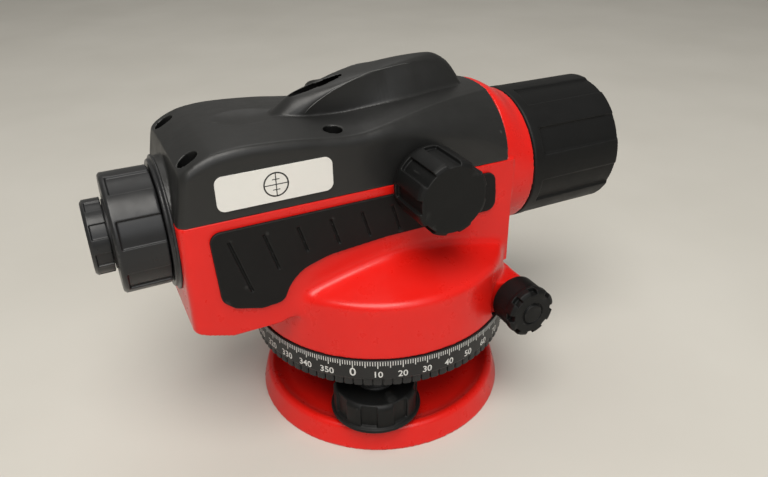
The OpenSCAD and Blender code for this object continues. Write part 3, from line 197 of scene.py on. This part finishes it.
# Each edge colour below lightens convex edges: partly wear, partly a painted highlight where edges
# catch the lamp
RED = finish(
    "red_paint", (0.70, 0.010, 0.006), 0.30, tint=0.05, grain=700, grain_depth=0.016, smudge=0.05,
    edge=(0.80, 0.06, 0.04), edge_share=0.2, edge_span=(0.515, 0.60), Specular_IOR_Level=0.4,
)
SHELL = finish(
    "black_shell", (0.0125, 0.0127, 0.0124), 0.40, tint=0.14, grain=3200, grain_depth=0.035,
    edge=(0.11, 0.11, 0.105), edge_share=0.5, hollows=COVER_HOLLOWS, Specular_IOR_Level=0.42,
)
KNOB = finish(
    "black_knob", (0.0050, 0.0052, 0.0052), 0.52, tint=0.14, grain=2600, grain_depth=0.025,
    edge=(0.04, 0.04, 0.039), edge_share=0.5, Specular_IOR_Level=0.22,
)
GLOSS = finish(
    "black_gloss", (0.014, 0.0145, 0.0155), 0.34, tint=0.12, grain=900, grain_depth=0.012, smudge=0.08,
    edge=(0.09, 0.09, 0.09), edge_share=0.45, Specular_IOR_Level=0.36,
)
BLACK_METAL = finish("black_metal", (0.014, 0.014, 0.0145), 0.44, grain=4000, Specular_IOR_Level=0.35)
RUBBER = finish(
    "rubber", (0.0050, 0.0050, 0.0050), 0.58, tint=0.12, grain=3600, grain_depth=0.035,
    edge=(0.05, 0.05, 0.049), edge_share=0.5, Specular_IOR_Level=0.22,
)
STEEL = finish("steel", (0.56, 0.56, 0.57), 0.3, grain=5000, Metallic=1.0)
BRASS = finish("brass", (0.66, 0.47, 0.19), 0.32, grain=4500, Metallic=1.0)
ALLOY = finish("alloy", (0.68, 0.69, 0.70), 0.4, grain=4000, Metallic=1.0)
# Lighter grey of the crease bead: a painted highlight, partly edge wear
CREASE_SHEEN_AND_WEAR = finish(
    "crease_sheen_and_wear", (0.075, 0.076, 0.074), 0.42, tint=0.3, patch=260, grain=3200, grain_depth=0.02
)
LABEL = finish("label", (0.73, 0.72, 0.68), 0.38, tint=0.03, grain=1500, grain_depth=0.006)
PRINT = finish("print_white", (0.62, 0.62, 0.60), 0.5, tint=0.08, patch=900, grain=3000)
INK = finish("print_black", (0.02, 0.02, 0.02), 0.45, grain=2500)


def glass(name, colour, roughness=0.02, **constants):
    """Clear glass with a faint film."""
    mat = bpy.data.materials.new(name)
    mat.use_nodes = True
    tree = mat.node_tree
    bsdf = socket(
        tree.nodes["Principled BSDF"],
        Base_Color=(*colour, 1), Transmission_Weight=1.0, IOR=GLASS_IOR, **constants,
    )
    smears = noise(tree, FILM_SCALE, detail=4)
    film = spread(tree, smears, *NOISE_SPAN, roughness, roughness + FILM_SMEAR)
    tree.links.new(film, bsdf.inputs["Roughness"])
    return mat


LENS = glass("coated_lens", (0.80, 0.93, 0.90), Coat_Weight=0.6, Coat_Tint=(0.55, 0.85, 0.75, 1))
PRISM = glass("prism_glass", (0.90, 0.96, 0.97))
SPIRIT_FILL = finish("spirit", (0.55, 0.68, 0.10), 0.12, tint=0.05, grain=300, grain_depth=0.001)
BUBBLE = finish("bubble", (0.80, 0.88, 0.48), 0.08, tint=0.03, grain=300, grain_depth=0.001)
MIRROR = finish(
    "mirror", (0.80, 0.83, 0.85), 0.06, smudge=0.03, grain=300, grain_depth=0.001, Metallic=1.0
)

FINISH = {
    "red_paint": RED, "black_shell": SHELL, "black_gloss": GLOSS, "black_metal": BLACK_METAL,
    "rubber": RUBBER, "steel": STEEL, "brass": BRASS, "alloy": ALLOY, "glass": LENS,
    "vial": SPIRIT_FILL, "label": LABEL,
}


def paint(obj, mat):
    """Gives an object one material."""
    obj.data.materials.clear()
    obj.data.materials.append(mat)


def piece(name, mesh, body, mat):
    """A new piece of the scene on a body of the frame."""
    obj = bpy.data.objects.new(name, mesh)
    bpy.context.scene.collection.objects.link(obj)
    paint(obj, mat)
    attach(obj, body)
    return obj


for node, obj in NODES.items():
    paint(obj, FINISH[SLOT[node]])
FOOT_KNOBS = ("foot_knob_a", "foot_knob_b", "foot_knob_c")
TANGENT_KNOBS = ("tangent_knob_right", "tangent_knob_left")
for node in (*FOOT_KNOBS, *TANGENT_KNOBS, "focus_knob", "objective_hood"):
    paint(NODES[node], KNOB)
paint(NODES["cover_screws"], BLACK_METAL)


# Moulded and cast pieces: the solids with their edges rounded

WELD = 0.002
WEIGHT_LEVELS = 10
SMOOTH_FACTOR = 0.5


def applied(obj):
    """Applies the object's modifiers to its mesh."""
    graph = bpy.context.evaluated_depsgraph_get()
    mesh = bpy.data.meshes.new_from_object(obj.evaluated_get(graph))
    old = obj.data
    obj.modifiers.clear()
    obj.data = mesh
    bpy.data.meshes.remove(old)


def points_of(mesh):
    """The mesh's points in millimetres."""
    co = np.empty(len(mesh.vertices) * 3)
    mesh.vertices.foreach_get("co", co)
    return co.reshape(-1, 3) / MM


def smooth(obj, rounds, weights=None):
    """Rounds the surface. Weights from 0 to 1, one for each vertex, say how much each may move."""
    group = None
    if weights is not None:
        group = obj.vertex_groups.new(name="round")
        levels = np.round(weights * WEIGHT_LEVELS).astype(int)
        for level in range(1, WEIGHT_LEVELS + 1):
            chosen = np.nonzero(levels == level)[0]
            if len(chosen):
                group.add(chosen.tolist(), level / WEIGHT_LEVELS, "REPLACE")
    mod = obj.modifiers.new("round", "SMOOTH")
    mod.factor = SMOOTH_FACTOR
    mod.iterations = rounds
    if group:
        mod.vertex_group = group.name
    applied(obj)
    obj.vertex_groups.clear()


def rounded(node, voxel, rounds, keep=0.3, zones=()):
    """Stands for a CAD node: its solid remeshed finely and smoothed, so that its edges are rounded.
    Each zone is a number of rounds and a function from coordinates in millimetres to weights. At the
    end a share of the faces is kept."""
    source = NODES[node]
    obj = bpy.data.objects.new(node + "_rounded", source.data.copy())
    bpy.context.scene.collection.objects.link(obj)
    bm = bmesh.new()
    bm.from_mesh(obj.data)
    bmesh.ops.remove_doubles(bm, verts=bm.verts, dist=WELD * MM)
    bm.to_mesh(obj.data)
    bm.free()
    mod = obj.modifiers.new("remesh", "REMESH")
    mod.mode = "VOXEL"
    mod.voxel_size = voxel * MM
    applied(obj)
    smooth(obj, rounds)
    for zone_rounds, weigh in zones:
        smooth(obj, zone_rounds, weigh(points_of(obj.data)))
    mod = obj.modifiers.new("thin", "DECIMATE")
    mod.ratio = keep
    applied(obj)
    obj.data.shade_smooth()
    paint(obj, source.data.materials[0])
    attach(obj, BODY[node])
    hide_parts(node)
    return obj


def fade(distance, near, far):
    """1 up to the near distance, 0 from the far one."""
    return np.clip((far - distance) / (far - near), 0, 1)


# Zones of the housing. A pair named REACH, FRONT, REAR or TOP is where a fade starts and ends
WALL_Y = 27.0
DRUM_R = 50.0
DRUM_EDGE = (47.2, 66.0)
DRUM_TOP = (27.0, 73.1)
DRUM_SHOULDER = 1.5
COVE_LENGTH = 43.0
COVE_FLOOR = 45.5
COVE_SKIN = 1.2
COVE_REACH = (3.5, 7.5)
KEEL_INNER = (-76.0, 25.0, 60.0)
KEEL_TOP = 97.0
KEEL_FRONT = (-62, -50)
LUG_INNER = (29.0, 46.0)
LUG_REAR = (-22, -19)
LUG_REACH = (38.4, 39.8)
LUG_TOP = (66, 70)
SHOULDER_INNER_R = 40.0
SHOULDER_REACH = (3, 6)


def cove(co):
    """Weights round the line where the drum meets the housing's side walls."""
    x, y, z = co[:, 0], np.abs(co[:, 1]), co[:, 2]
    r = np.hypot(x, WALL_Y)
    share = np.clip((r - DRUM_TOP[0]) / (DRUM_EDGE[0] - DRUM_TOP[0]), 0, 1)
    line_z = DRUM_TOP[1] + share * (DRUM_EDGE[1] - DRUM_TOP[1])
    over = np.hypot(y - WALL_Y, z - line_z)
    rear_x = -math.sqrt(DRUM_R**2 - WALL_Y**2)
    beside = np.where(z < DRUM_EDGE[1], np.hypot(x - rear_x, y - WALL_Y), FAR)
    near = np.minimum(np.where(np.abs(x) < COVE_LENGTH, over, FAR), beside)
    outside = (y > WALL_Y - COVE_SKIN) & (z > COVE_FLOOR)
    return np.where(outside, fade(near, *COVE_REACH), 0)


def keel(co):
    """Weights on the housing's rear and lower edges."""
    x, y, z = co[:, 0], np.abs(co[:, 1]), co[:, 2]
    outside = (x < KEEL_INNER[0]) | (y > KEEL_INNER[1]) | (z < KEEL_INNER[2])
    return np.where(outside & (z < KEEL_TOP), fade(x, *KEEL_FRONT), 0)


def lugs(co):
    """Weights where the lugs grow out of the drum."""
    x, y, z = co[:, 0], np.abs(co[:, 1]), co[:, 2]
    side = np.minimum(fade(-x, *LUG_REAR), fade(y, *LUG_REACH))
    outside = (y > LUG_INNER[0]) & (z > LUG_INNER[1])
    return np.where(outside, np.minimum(side, fade(z, *LUG_TOP)), 0)


def drum_edge(co):
    """Weights on the drum's shoulder."""
    r, z = np.hypot(co[:, 0], co[:, 1]), co[:, 2]
    near = np.hypot(r - DRUM_EDGE[0] - DRUM_SHOULDER, z - DRUM_EDGE[1])
    outside = (np.abs(co[:, 1]) > WALL_Y) & (r > SHOULDER_INNER_R)
    return np.where(outside, fade(near, *SHOULDER_REACH), 0)


# Lines on the cover, each as places along X and values there: distance of the side edge and of the
# ridge's foot from the middle, height of the ridge's crease and its distance from the middle
COVER_EDGE = (
    (-79, -15, -9, 4, 17, 28, 35, 41),
    (24.6, 24.5, 24.1, 21.8, 18.2, 15.4, 12.8, 10.2),
)
RIDGE_FOOT = (
    (-44, -42, -30, -13, 3, 14, 25, 32, 37),
    (0, 3, 7, 8, 11, 10.5, 8.5, 6.5, 1.5),
)
RIDGE_CREASE = (
    (-42, -34, -30, -27, -24, -18.5, -13.8, -4.1, 2.1, 9.2, 15.3, 20.8, 25.1, 29.8, 33, 36.5),
    (
        119.5, 120.8, 122.1, 124.7, 126.5, 129.3, 131.1, 133.6,
        134.1, 134.5, 134.3, 133.6, 131.6, 128.0, 124.0, 119.6,
    ),
)
CREASE_HALF = (
    (-30, -24, -18.5, -13.8, -4.1, 2.1, 9.2, 15),
    (6.4, 6.3, 6.2, 6.4, 5.8, 5.2, 4.6, 4.4),
)
# Zones of the cover, with the margins over which a weight grows or fades
SEAM_Z = 100.0
FOCUS_HOLE = (5.7, 100.4)
FOCUS_HOLE_R = 8.3
EDGE_CLEAR = (1.6, 3.4)
FOOT_CLEAR = (0.6, 1.8)
SKIN_REAR = (70, 73)
SKIN_FRONT = (37, 39.5)
SEAM_CLEAR = (-3.0, -1.5)
HOLE_CLEAR = (0.7, 1.8)
KNOB_CLEAR = (0.8, 2)
CREASE_CLEAR = (0.5, 1.3)
RIDGE_INNER = (-1.4, -0.5)
RIDGE_LOW = (-122.5, -121.5)
BORE_MIDDLE = -4.0
BORE_CLOSED_HALF = 18.0
BORE_CLEAR = (3.0, 4.0)


def clear_of(distance, radius, margin):
    """0 up to a margin round something, 1 beyond it."""
    return 1 - fade(distance, radius + margin[0], radius + margin[1])


def cover_skin(co):
    """Weights on the cover's smooth faces, short of its edges, its holes and the ridge."""
    x, y, z = co[:, 0], np.abs(co[:, 1]), co[:, 2]
    from_edge = np.abs(y - np.interp(x, *COVER_EDGE))
    from_foot = y - np.interp(x, *RIDGE_FOOT)
    weight = clear_of(from_edge, 0, EDGE_CLEAR) * clear_of(from_foot, 0, FOOT_CLEAR)
    weight *= fade(-x, *SKIN_REAR) * fade(x, *SKIN_FRONT) * fade(SEAM_Z - z, *SEAM_CLEAR)
    for hole_x, hole_y in SCREW_HOLES:
        weight *= clear_of(np.hypot(x - hole_x, y - hole_y), HOLE_R, HOLE_CLEAR)
    from_knob = np.hypot(x - FOCUS_HOLE[0], z - FOCUS_HOLE[1])
    return weight * clear_of(from_knob, FOCUS_HOLE_R, KNOB_CLEAR)


def ridge_skin(co):
    """Weights on the ridge's faces, short of its crease, its foot and the sighting bore."""
    x, y, z = co[:, 0], np.abs(co[:, 1]), co[:, 2]
    weight = clear_of(np.abs(z - np.interp(x, *RIDGE_CREASE)), 0, CREASE_CLEAR)
    weight *= fade(y - np.interp(x, *RIDGE_FOOT), *RIDGE_INNER) * fade(-z, *RIDGE_LOW)
    open_bore = np.abs(x - BORE_MIDDLE) > BORE_CLOSED_HALF
    from_bore = np.where(open_bore, np.hypot(y, z - SIGHT_Z), FAR)
    return weight * clear_of(from_bore, 0, BORE_CLEAR)


RIM_R = 44.5
RIM_LOW = 5.0
RIM_REACH = (2.0, 4.0)


def rim(co):
    """Weights on the inner edge of the base plate's rim."""
    r, z = np.hypot(co[:, 0], co[:, 1]), co[:, 2]
    return np.where(z > RIM_LOW, fade(np.abs(r - RIM_R), *RIM_REACH), 0)


housing_zones = [(120, cove), (3, keel), (60, lugs), (12, drum_edge)]
rounded("main_housing", voxel=0.5, rounds=3, keep=0.32, zones=housing_zones)
cover_zones = [(40, cover_skin), (30, ridge_skin)]
cover = rounded("top_cover", voxel=0.34, rounds=2, zones=cover_zones)
rounded("base_plate", voxel=0.45, rounds=6, zones=[(30, rim)])
rounded("objective_hood", voxel=0.35, rounds=4)
rounded("eyepiece_cover", voxel=0.25, rounds=5)
rounded("eyepiece_flange", voxel=0.25, rounds=4)
rounded("dioptre_ring", voxel=0.2, rounds=5)
rounded("focus_knob", voxel=0.22, rounds=4)
for node in TANGENT_KNOBS:
    rounded(node, voxel=0.2, rounds=5)
for node in FOOT_KNOBS:
    rounded(node, voxel=0.25, rounds=5)
for node in ("right_grip", "left_grip"):
    rounded(node, voxel=0.22, rounds=6)
for node in ("vial_cup", "vial_hood"):
    rounded(node, voxel=0.25, rounds=5)


# Painted highlight line on the sighting ridge, partly edge wear

SHEEN_WEAR_R = 0.2
SHEEN_WEAR_SIDES = 6
SHEEN_WEAR_PLACES = np.linspace(-29.0, 12.0, 60)
SHEEN_WEAR_LEAST = 0.3
SHEEN_WEAR_START, SHEEN_WEAR_END = 8, 25


def worn_line(name, side):
    """Thin lighter bead along the ridge's crease: a painted highlight where the crease catches the
    lamp, and partly wear that polishes the moulded edge.
    """
    half, height = (np.interp(SHEEN_WEAR_PLACES, *line) for line in (CREASE_HALF, RIDGE_CREASE))
    path = []
    for x, y, z in zip(SHEEN_WEAR_PLACES, half, height):
        _, near, _, _ = cover.closest_point_on_mesh(Vector((x, side * y, z)) * MM)
        path.append(near)
    last = len(path) - 1
    turn = [2 * math.pi * k / SHEEN_WEAR_SIDES for k in range(SHEEN_WEAR_SIDES)]
    bm = bmesh.new()
    rows = []
    for i, near in enumerate(path):
        along = (path[min(i + 1, last)] - path[max(i - 1, 0)]).normalized()
        across = along.cross(Vector((0, 0, 1))).normalized()
        up = across.cross(along)
        share = min(1, SHEEN_WEAR_LEAST + i / SHEEN_WEAR_START, SHEEN_WEAR_LEAST + (last - i) / SHEEN_WEAR_END)
        r = SHEEN_WEAR_R * share * MM
        rows.append([
            bm.verts.new(near + r * (math.cos(a) * across + math.sin(a) * up)) for a in turn
        ])
    for a, b in zip(rows, rows[1:]):
        for k in range(SHEEN_WEAR_SIDES):
            m = (k + 1) % SHEEN_WEAR_SIDES
            bm.faces.new((a[k], a[m], b[m], b[k]))
    bm.faces.new(rows[0][::-1])
    bm.faces.new(rows[-1])
    bmesh.ops.recalc_face_normals(bm, faces=bm.faces)
    mesh = bpy.data.meshes.new(name)
    bm.to_mesh(mesh)
    bm.free()
    mesh.shade_smooth()
    piece(name, mesh, "alidade", CREASE_SHEEN_AND_WEAR)


worn_line("worn_line_right", -1)
worn_line("worn_line_left", 1)


# Graduated circle

CIRCLE_R = 51.5
CIRCLE_TOP = 43.6
ZERO_MARK = -35.8
PRINT_LIFT = 0.03
TEXT_BOLD = 0.014
TEXT_STEPS = 4
MARK_TOP = CIRCLE_TOP - 0.2
MARK_TEN, MARK_FIVE, MARK_ONE = 3.0, 2.7, 1.85
MARK_HALF, MARK_HALF_BOLD = 0.15, 0.17
ZERO_SIZE, ZERO_DROP = 4.9, 5.2
NUMBER_SIZE, NUMBER_DROP = 3.7, 6.0
LONG_NUMBER, LONG_SHIFT = 100, -0.8


def on_circle(angle, z):
    """Place of print on the circle's outside, from a reading in degrees."""
    a = math.radians(angle + ZERO_MARK)
    r = (CIRCLE_R + PRINT_LIFT) * MM
    return (r * math.sin(a), -r * math.cos(a), z * MM)


def printed_text(text, size):
    """Flat mesh of a number, centred, in millimetres: points and faces."""
    curve = bpy.data.curves.new("number", "FONT")
    curve.body = text
    curve.size = size
    curve.align_x = "CENTER"
    curve.align_y = "CENTER"
    curve.resolution_u = TEXT_STEPS
    curve.offset = TEXT_BOLD * size
    obj = bpy.data.objects.new("number", curve)
    bpy.context.scene.collection.objects.link(obj)
    graph = bpy.context.evaluated_depsgraph_get()
    mesh = bpy.data.meshes.new_from_object(obj.evaluated_get(graph))
    points = [(v.co.x, v.co.y) for v in mesh.vertices]
    faces = [tuple(p.vertices) for p in mesh.polygons]
    bpy.data.objects.remove(obj)
    bpy.data.curves.remove(curve)
    bpy.data.meshes.remove(mesh)
    return points, faces


def graduations():
    """A mark for each degree and a number for each ten, as one printed piece."""
    verts, faces = [], []
    for degree in range(360):
        length = MARK_TEN if degree % 10 == 0 else MARK_FIVE if degree % 5 == 0 else MARK_ONE
        half = MARK_HALF if degree % 5 else MARK_HALF_BOLD
        a = math.degrees(half / CIRCLE_R)
        end = MARK_TOP - length
        k = len(verts)
        for angle, z in ((-a, MARK_TOP), (-a, end), (a, end), (a, MARK_TOP)):
            verts.append(on_circle(degree + angle, z))
        faces.append((k, k + 1, k + 2, k + 3))
    for number in range(0, 360, 10):
        size, drop = (ZERO_SIZE, ZERO_DROP) if number == 0 else (NUMBER_SIZE, NUMBER_DROP)
        points, polygons = printed_text(str(number), size)
        shift = LONG_SHIFT if number >= LONG_NUMBER else 0
        k = len(verts)
        for u, v in points:
            angle = number + math.degrees((u + shift) / CIRCLE_R)
            verts.append(on_circle(angle, CIRCLE_TOP - drop + v))
        faces += [tuple(k + i for i in p) for p in polygons]
    mesh = bpy.data.meshes.new("circle_marks")
    mesh.from_pydata(verts, [], faces)
    piece("circle_marks", mesh, "circle", PRINT)


graduations()


# Label and circular level


def flat_shapes(name, shapes, to_place, body, mat):
    """Printed shapes: each is a list of points in millimetres on a flat face, placed by a function."""
    verts, faces = [], []
    for shape in shapes:
        k = len(verts)
        verts += [tuple(c * MM for c in to_place(u, v)) for u, v in shape]
        faces.append(tuple(range(k, k + len(shape))))
    mesh = bpy.data.meshes.new(name)
    mesh.from_pydata(verts, [], faces)
    piece(name, mesh, body, mat)


def ring_shapes(u, v, r, width, parts=48):
    """A printed ring as quads."""
    turn = [2 * math.pi * i / parts for i in range(parts + 1)]
    out = []
    for a, b in zip(turn, turn[1:]):
        out.append([
            (u + (r - width) * math.cos(a), v + (r - width) * math.sin(a)),
            (u + r * math.cos(a), v + r * math.sin(a)),
            (u + r * math.cos(b), v + r * math.sin(b)),
            (u + (r - width) * math.cos(b), v + (r - width) * math.sin(b)),
        ])
    return out


def bar(half_u, half_v, v=0):
    """A printed bar across the middle, or at a height above it."""
    return [(-half_u, v - half_v), (half_u, v - half_v), (half_u, v + half_v), (-half_u, v + half_v)]


SIGN_R = 4.2
SIGN_RING = 0.5
SIGN_LINE = 0.16
STADIA_HALF, STADIA_LINE, STADIA_V = 1.2, 0.15, 1.75

low, high = (tuple(c / MM for c in corner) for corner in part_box("label_plate"))
mid_x, mid_z = (low[0] + high[0]) / 2, (low[2] + high[2]) / 2
sign = ring_shapes(0, 0, SIGN_R, SIGN_RING) + [bar(SIGN_R, SIGN_LINE), bar(SIGN_LINE, SIGN_R)]
sign += [bar(STADIA_HALF, STADIA_LINE, v) for v in (STADIA_V, -STADIA_V)]
flat_shapes(
    "label_sign", sign, lambda u, v: (mid_x + u, low[1] - PRINT_LIFT, mid_z + v),
    "alidade", INK,
)


# The vial, with profiles of radius and height over its floor
VIAL = (1.5, 40.0)
VIAL_Z = 95.0
LIQUID_PROFILE = [(0, 0), (8.9, 0), (8.9, 5.2), (0, 5.3)]
BUBBLE_PROFILE = [(0, 5.2), (2.3, 5.3), (2.6, 5.5), (1.8, 5.75), (0, 5.85)]
BUBBLE_PLACE = (VIAL[0] + 0.5, VIAL[1] - 0.4)
GLASS_PROFILE = [(0, 5.9), (6, 5.7), (8.95, 5.3), (8.95, 5.5), (6, 6.1), (0, 6.4)]
RING_R, RING_LINE = 3.7, 0.35
RING_H, RING_BOW = 5.88, 0.006


def turned(name, profile, centre, body, mat, parts=64):
    """Solid of revolution about an upright line over the vial's floor, from a profile."""
    bm = bmesh.new()
    rows = []
    for r, z in profile:
        if r == 0:
            rows.append([bm.verts.new((centre[0] * MM, centre[1] * MM, (VIAL_Z + z) * MM))])
            continue
        rows.append([
            bm.verts.new((
                (centre[0] + r * math.cos(2 * math.pi * i / parts)) * MM,
                (centre[1] + r * math.sin(2 * math.pi * i / parts)) * MM,
                (VIAL_Z + z) * MM,
            ))
            for i in range(parts)
        ])
    for a, b in zip(rows, rows[1:]):
        for i in range(parts):
            j = (i + 1) % parts
            loop = [a[i % len(a)], a[j % len(a)], b[j % len(b)], b[i % len(b)]]
            bm.faces.new(list(dict.fromkeys(loop)))
    mesh = bpy.data.meshes.new(name)
    bm.to_mesh(mesh)
    bm.free()
    mesh.shade_smooth()
    return piece(name, mesh, body, mat)


liquid = turned("vial_liquid", LIQUID_PROFILE, VIAL, "alidade", SPIRIT_FILL)
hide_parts("circular_vial")
turned("vial_bubble", BUBBLE_PROFILE, BUBBLE_PLACE, "alidade", BUBBLE)
turned("vial_glass", GLASS_PROFILE, VIAL, "alidade", PRISM)


def on_vial(u, v):
    """Place of print on the vial's domed glass."""
    return (u, v, VIAL_Z + RING_H - RING_BOW * ((u - VIAL[0]) ** 2 + (v - VIAL[1]) ** 2))


flat_shapes("vial_ring", ring_shapes(*VIAL, RING_R, RING_LINE), on_vial, "alidade", INK)
paint(NODES["vial_prism"], MIRROR)


# Stage, light and camera

TABLE_HALF = 4
TABLE_ROUGHNESS = 0.6
TABLE_SCALE = 9
TABLE_DARK = (0.58, 0.56, 0.51)
TABLE_LIGHT = (0.62, 0.60, 0.55)


def floor_finish():
    """Plain pale table with a faint unevenness of tone."""
    mat = bpy.data.materials.new("table")
    mat.use_nodes = True
    tree = mat.node_tree
    bsdf = socket(tree.nodes["Principled BSDF"], Roughness=TABLE_ROUGHNESS)
    tone = spread(tree, noise(tree, TABLE_SCALE, detail=4), *NOISE_SPAN, 0, 1)
    shade = blend_colours(tree, tone, TABLE_DARK, TABLE_LIGHT)
    tree.links.new(shade, bsdf.inputs["Base Color"])
    return mat


def table():
    """Flat square that the part stands on."""
    corners = [(x * TABLE_HALF, y * TABLE_HALF, 0) for x, y in ((-1, -1), (1, -1), (1, 1), (-1, 1))]
    mesh = bpy.data.meshes.new("table")
    mesh.from_pydata(corners, [], [(0, 1, 2, 3)])
    obj = bpy.data.objects.new("table", mesh)
    bpy.context.scene.collection.objects.link(obj)
    paint(obj, floor_finish())


table()


def lamp(name, place, target, size, power, colour):
    """Round soft lamp that faces a target."""
    data = bpy.data.lights.new(name, "AREA")
    data.shape = "DISK"
    data.size = size
    data.energy = power
    data.color = colour
    obj = bpy.data.objects.new(name, data)
    bpy.context.scene.collection.objects.link(obj)
    obj.location = place
    obj.rotation_euler = (Vector(target) - Vector(place)).to_track_quat("-Z", "Y").to_euler()


lamp("key", (-0.25, -0.45, 1.05), (0, 0, 0.06), size=0.8, power=11.5, colour=(1, 0.97, 0.92))
lamp("fill", (-0.1, -1.0, 0.75), (0, 0, 0.07), size=0.9, power=3.5, colour=(0.97, 0.98, 1))
lamp("back", (0.1, 0.6, 1.1), (0, 0, 0.08), size=0.8, power=2, colour=(1, 0.98, 0.95))

ROOM_COLOUR = (0.80, 0.78, 0.73, 1)
ROOM_LIGHT = 0.30

world = bpy.data.worlds.new("room")
bpy.context.scene.world = world
world.use_nodes = True
socket(world.node_tree.nodes["Background"], Color=ROOM_COLOUR, Strength=ROOM_LIGHT)


# The camera that was solved from the photo: place, yaw, pitch below the horizon, roll and lens
CAMERA_PLACE = (-0.10162, -0.21939, 0.19793)
CAMERA_TURN = (25.5, 28.44, -1.0)
CAMERA_LENS = 32.286
CAMERA_SHIFT = -0.0078
SENSOR = 36
CLIP_START = 0.01


def camera():
    """The photo's camera."""
    yaw, pitch, roll = (math.radians(a) for a in CAMERA_TURN)
    forward = Vector((
        math.sin(yaw) * math.cos(pitch), math.cos(yaw) * math.cos(pitch), -math.sin(pitch)
    ))
    right = Vector((math.cos(yaw), -math.sin(yaw), 0))
    up = right.cross(forward)
    x = math.cos(roll) * right + math.sin(roll) * up
    y = -math.sin(roll) * right + math.cos(roll) * up
    data = bpy.data.cameras.new("camera")
    data.sensor_width = SENSOR
    data.lens = CAMERA_LENS
    data.shift_y = CAMERA_SHIFT
    data.clip_start = CLIP_START
    obj = bpy.data.objects.new("camera", data)
    bpy.context.scene.collection.objects.link(obj)
    turn = Matrix((x, y, -forward)).transposed().to_4x4()
    obj.matrix_world = Matrix.Translation(CAMERA_PLACE) @ turn
    bpy.context.scene.camera = obj


camera()
bpy.context.scene.view_settings.view_transform = "Standard"
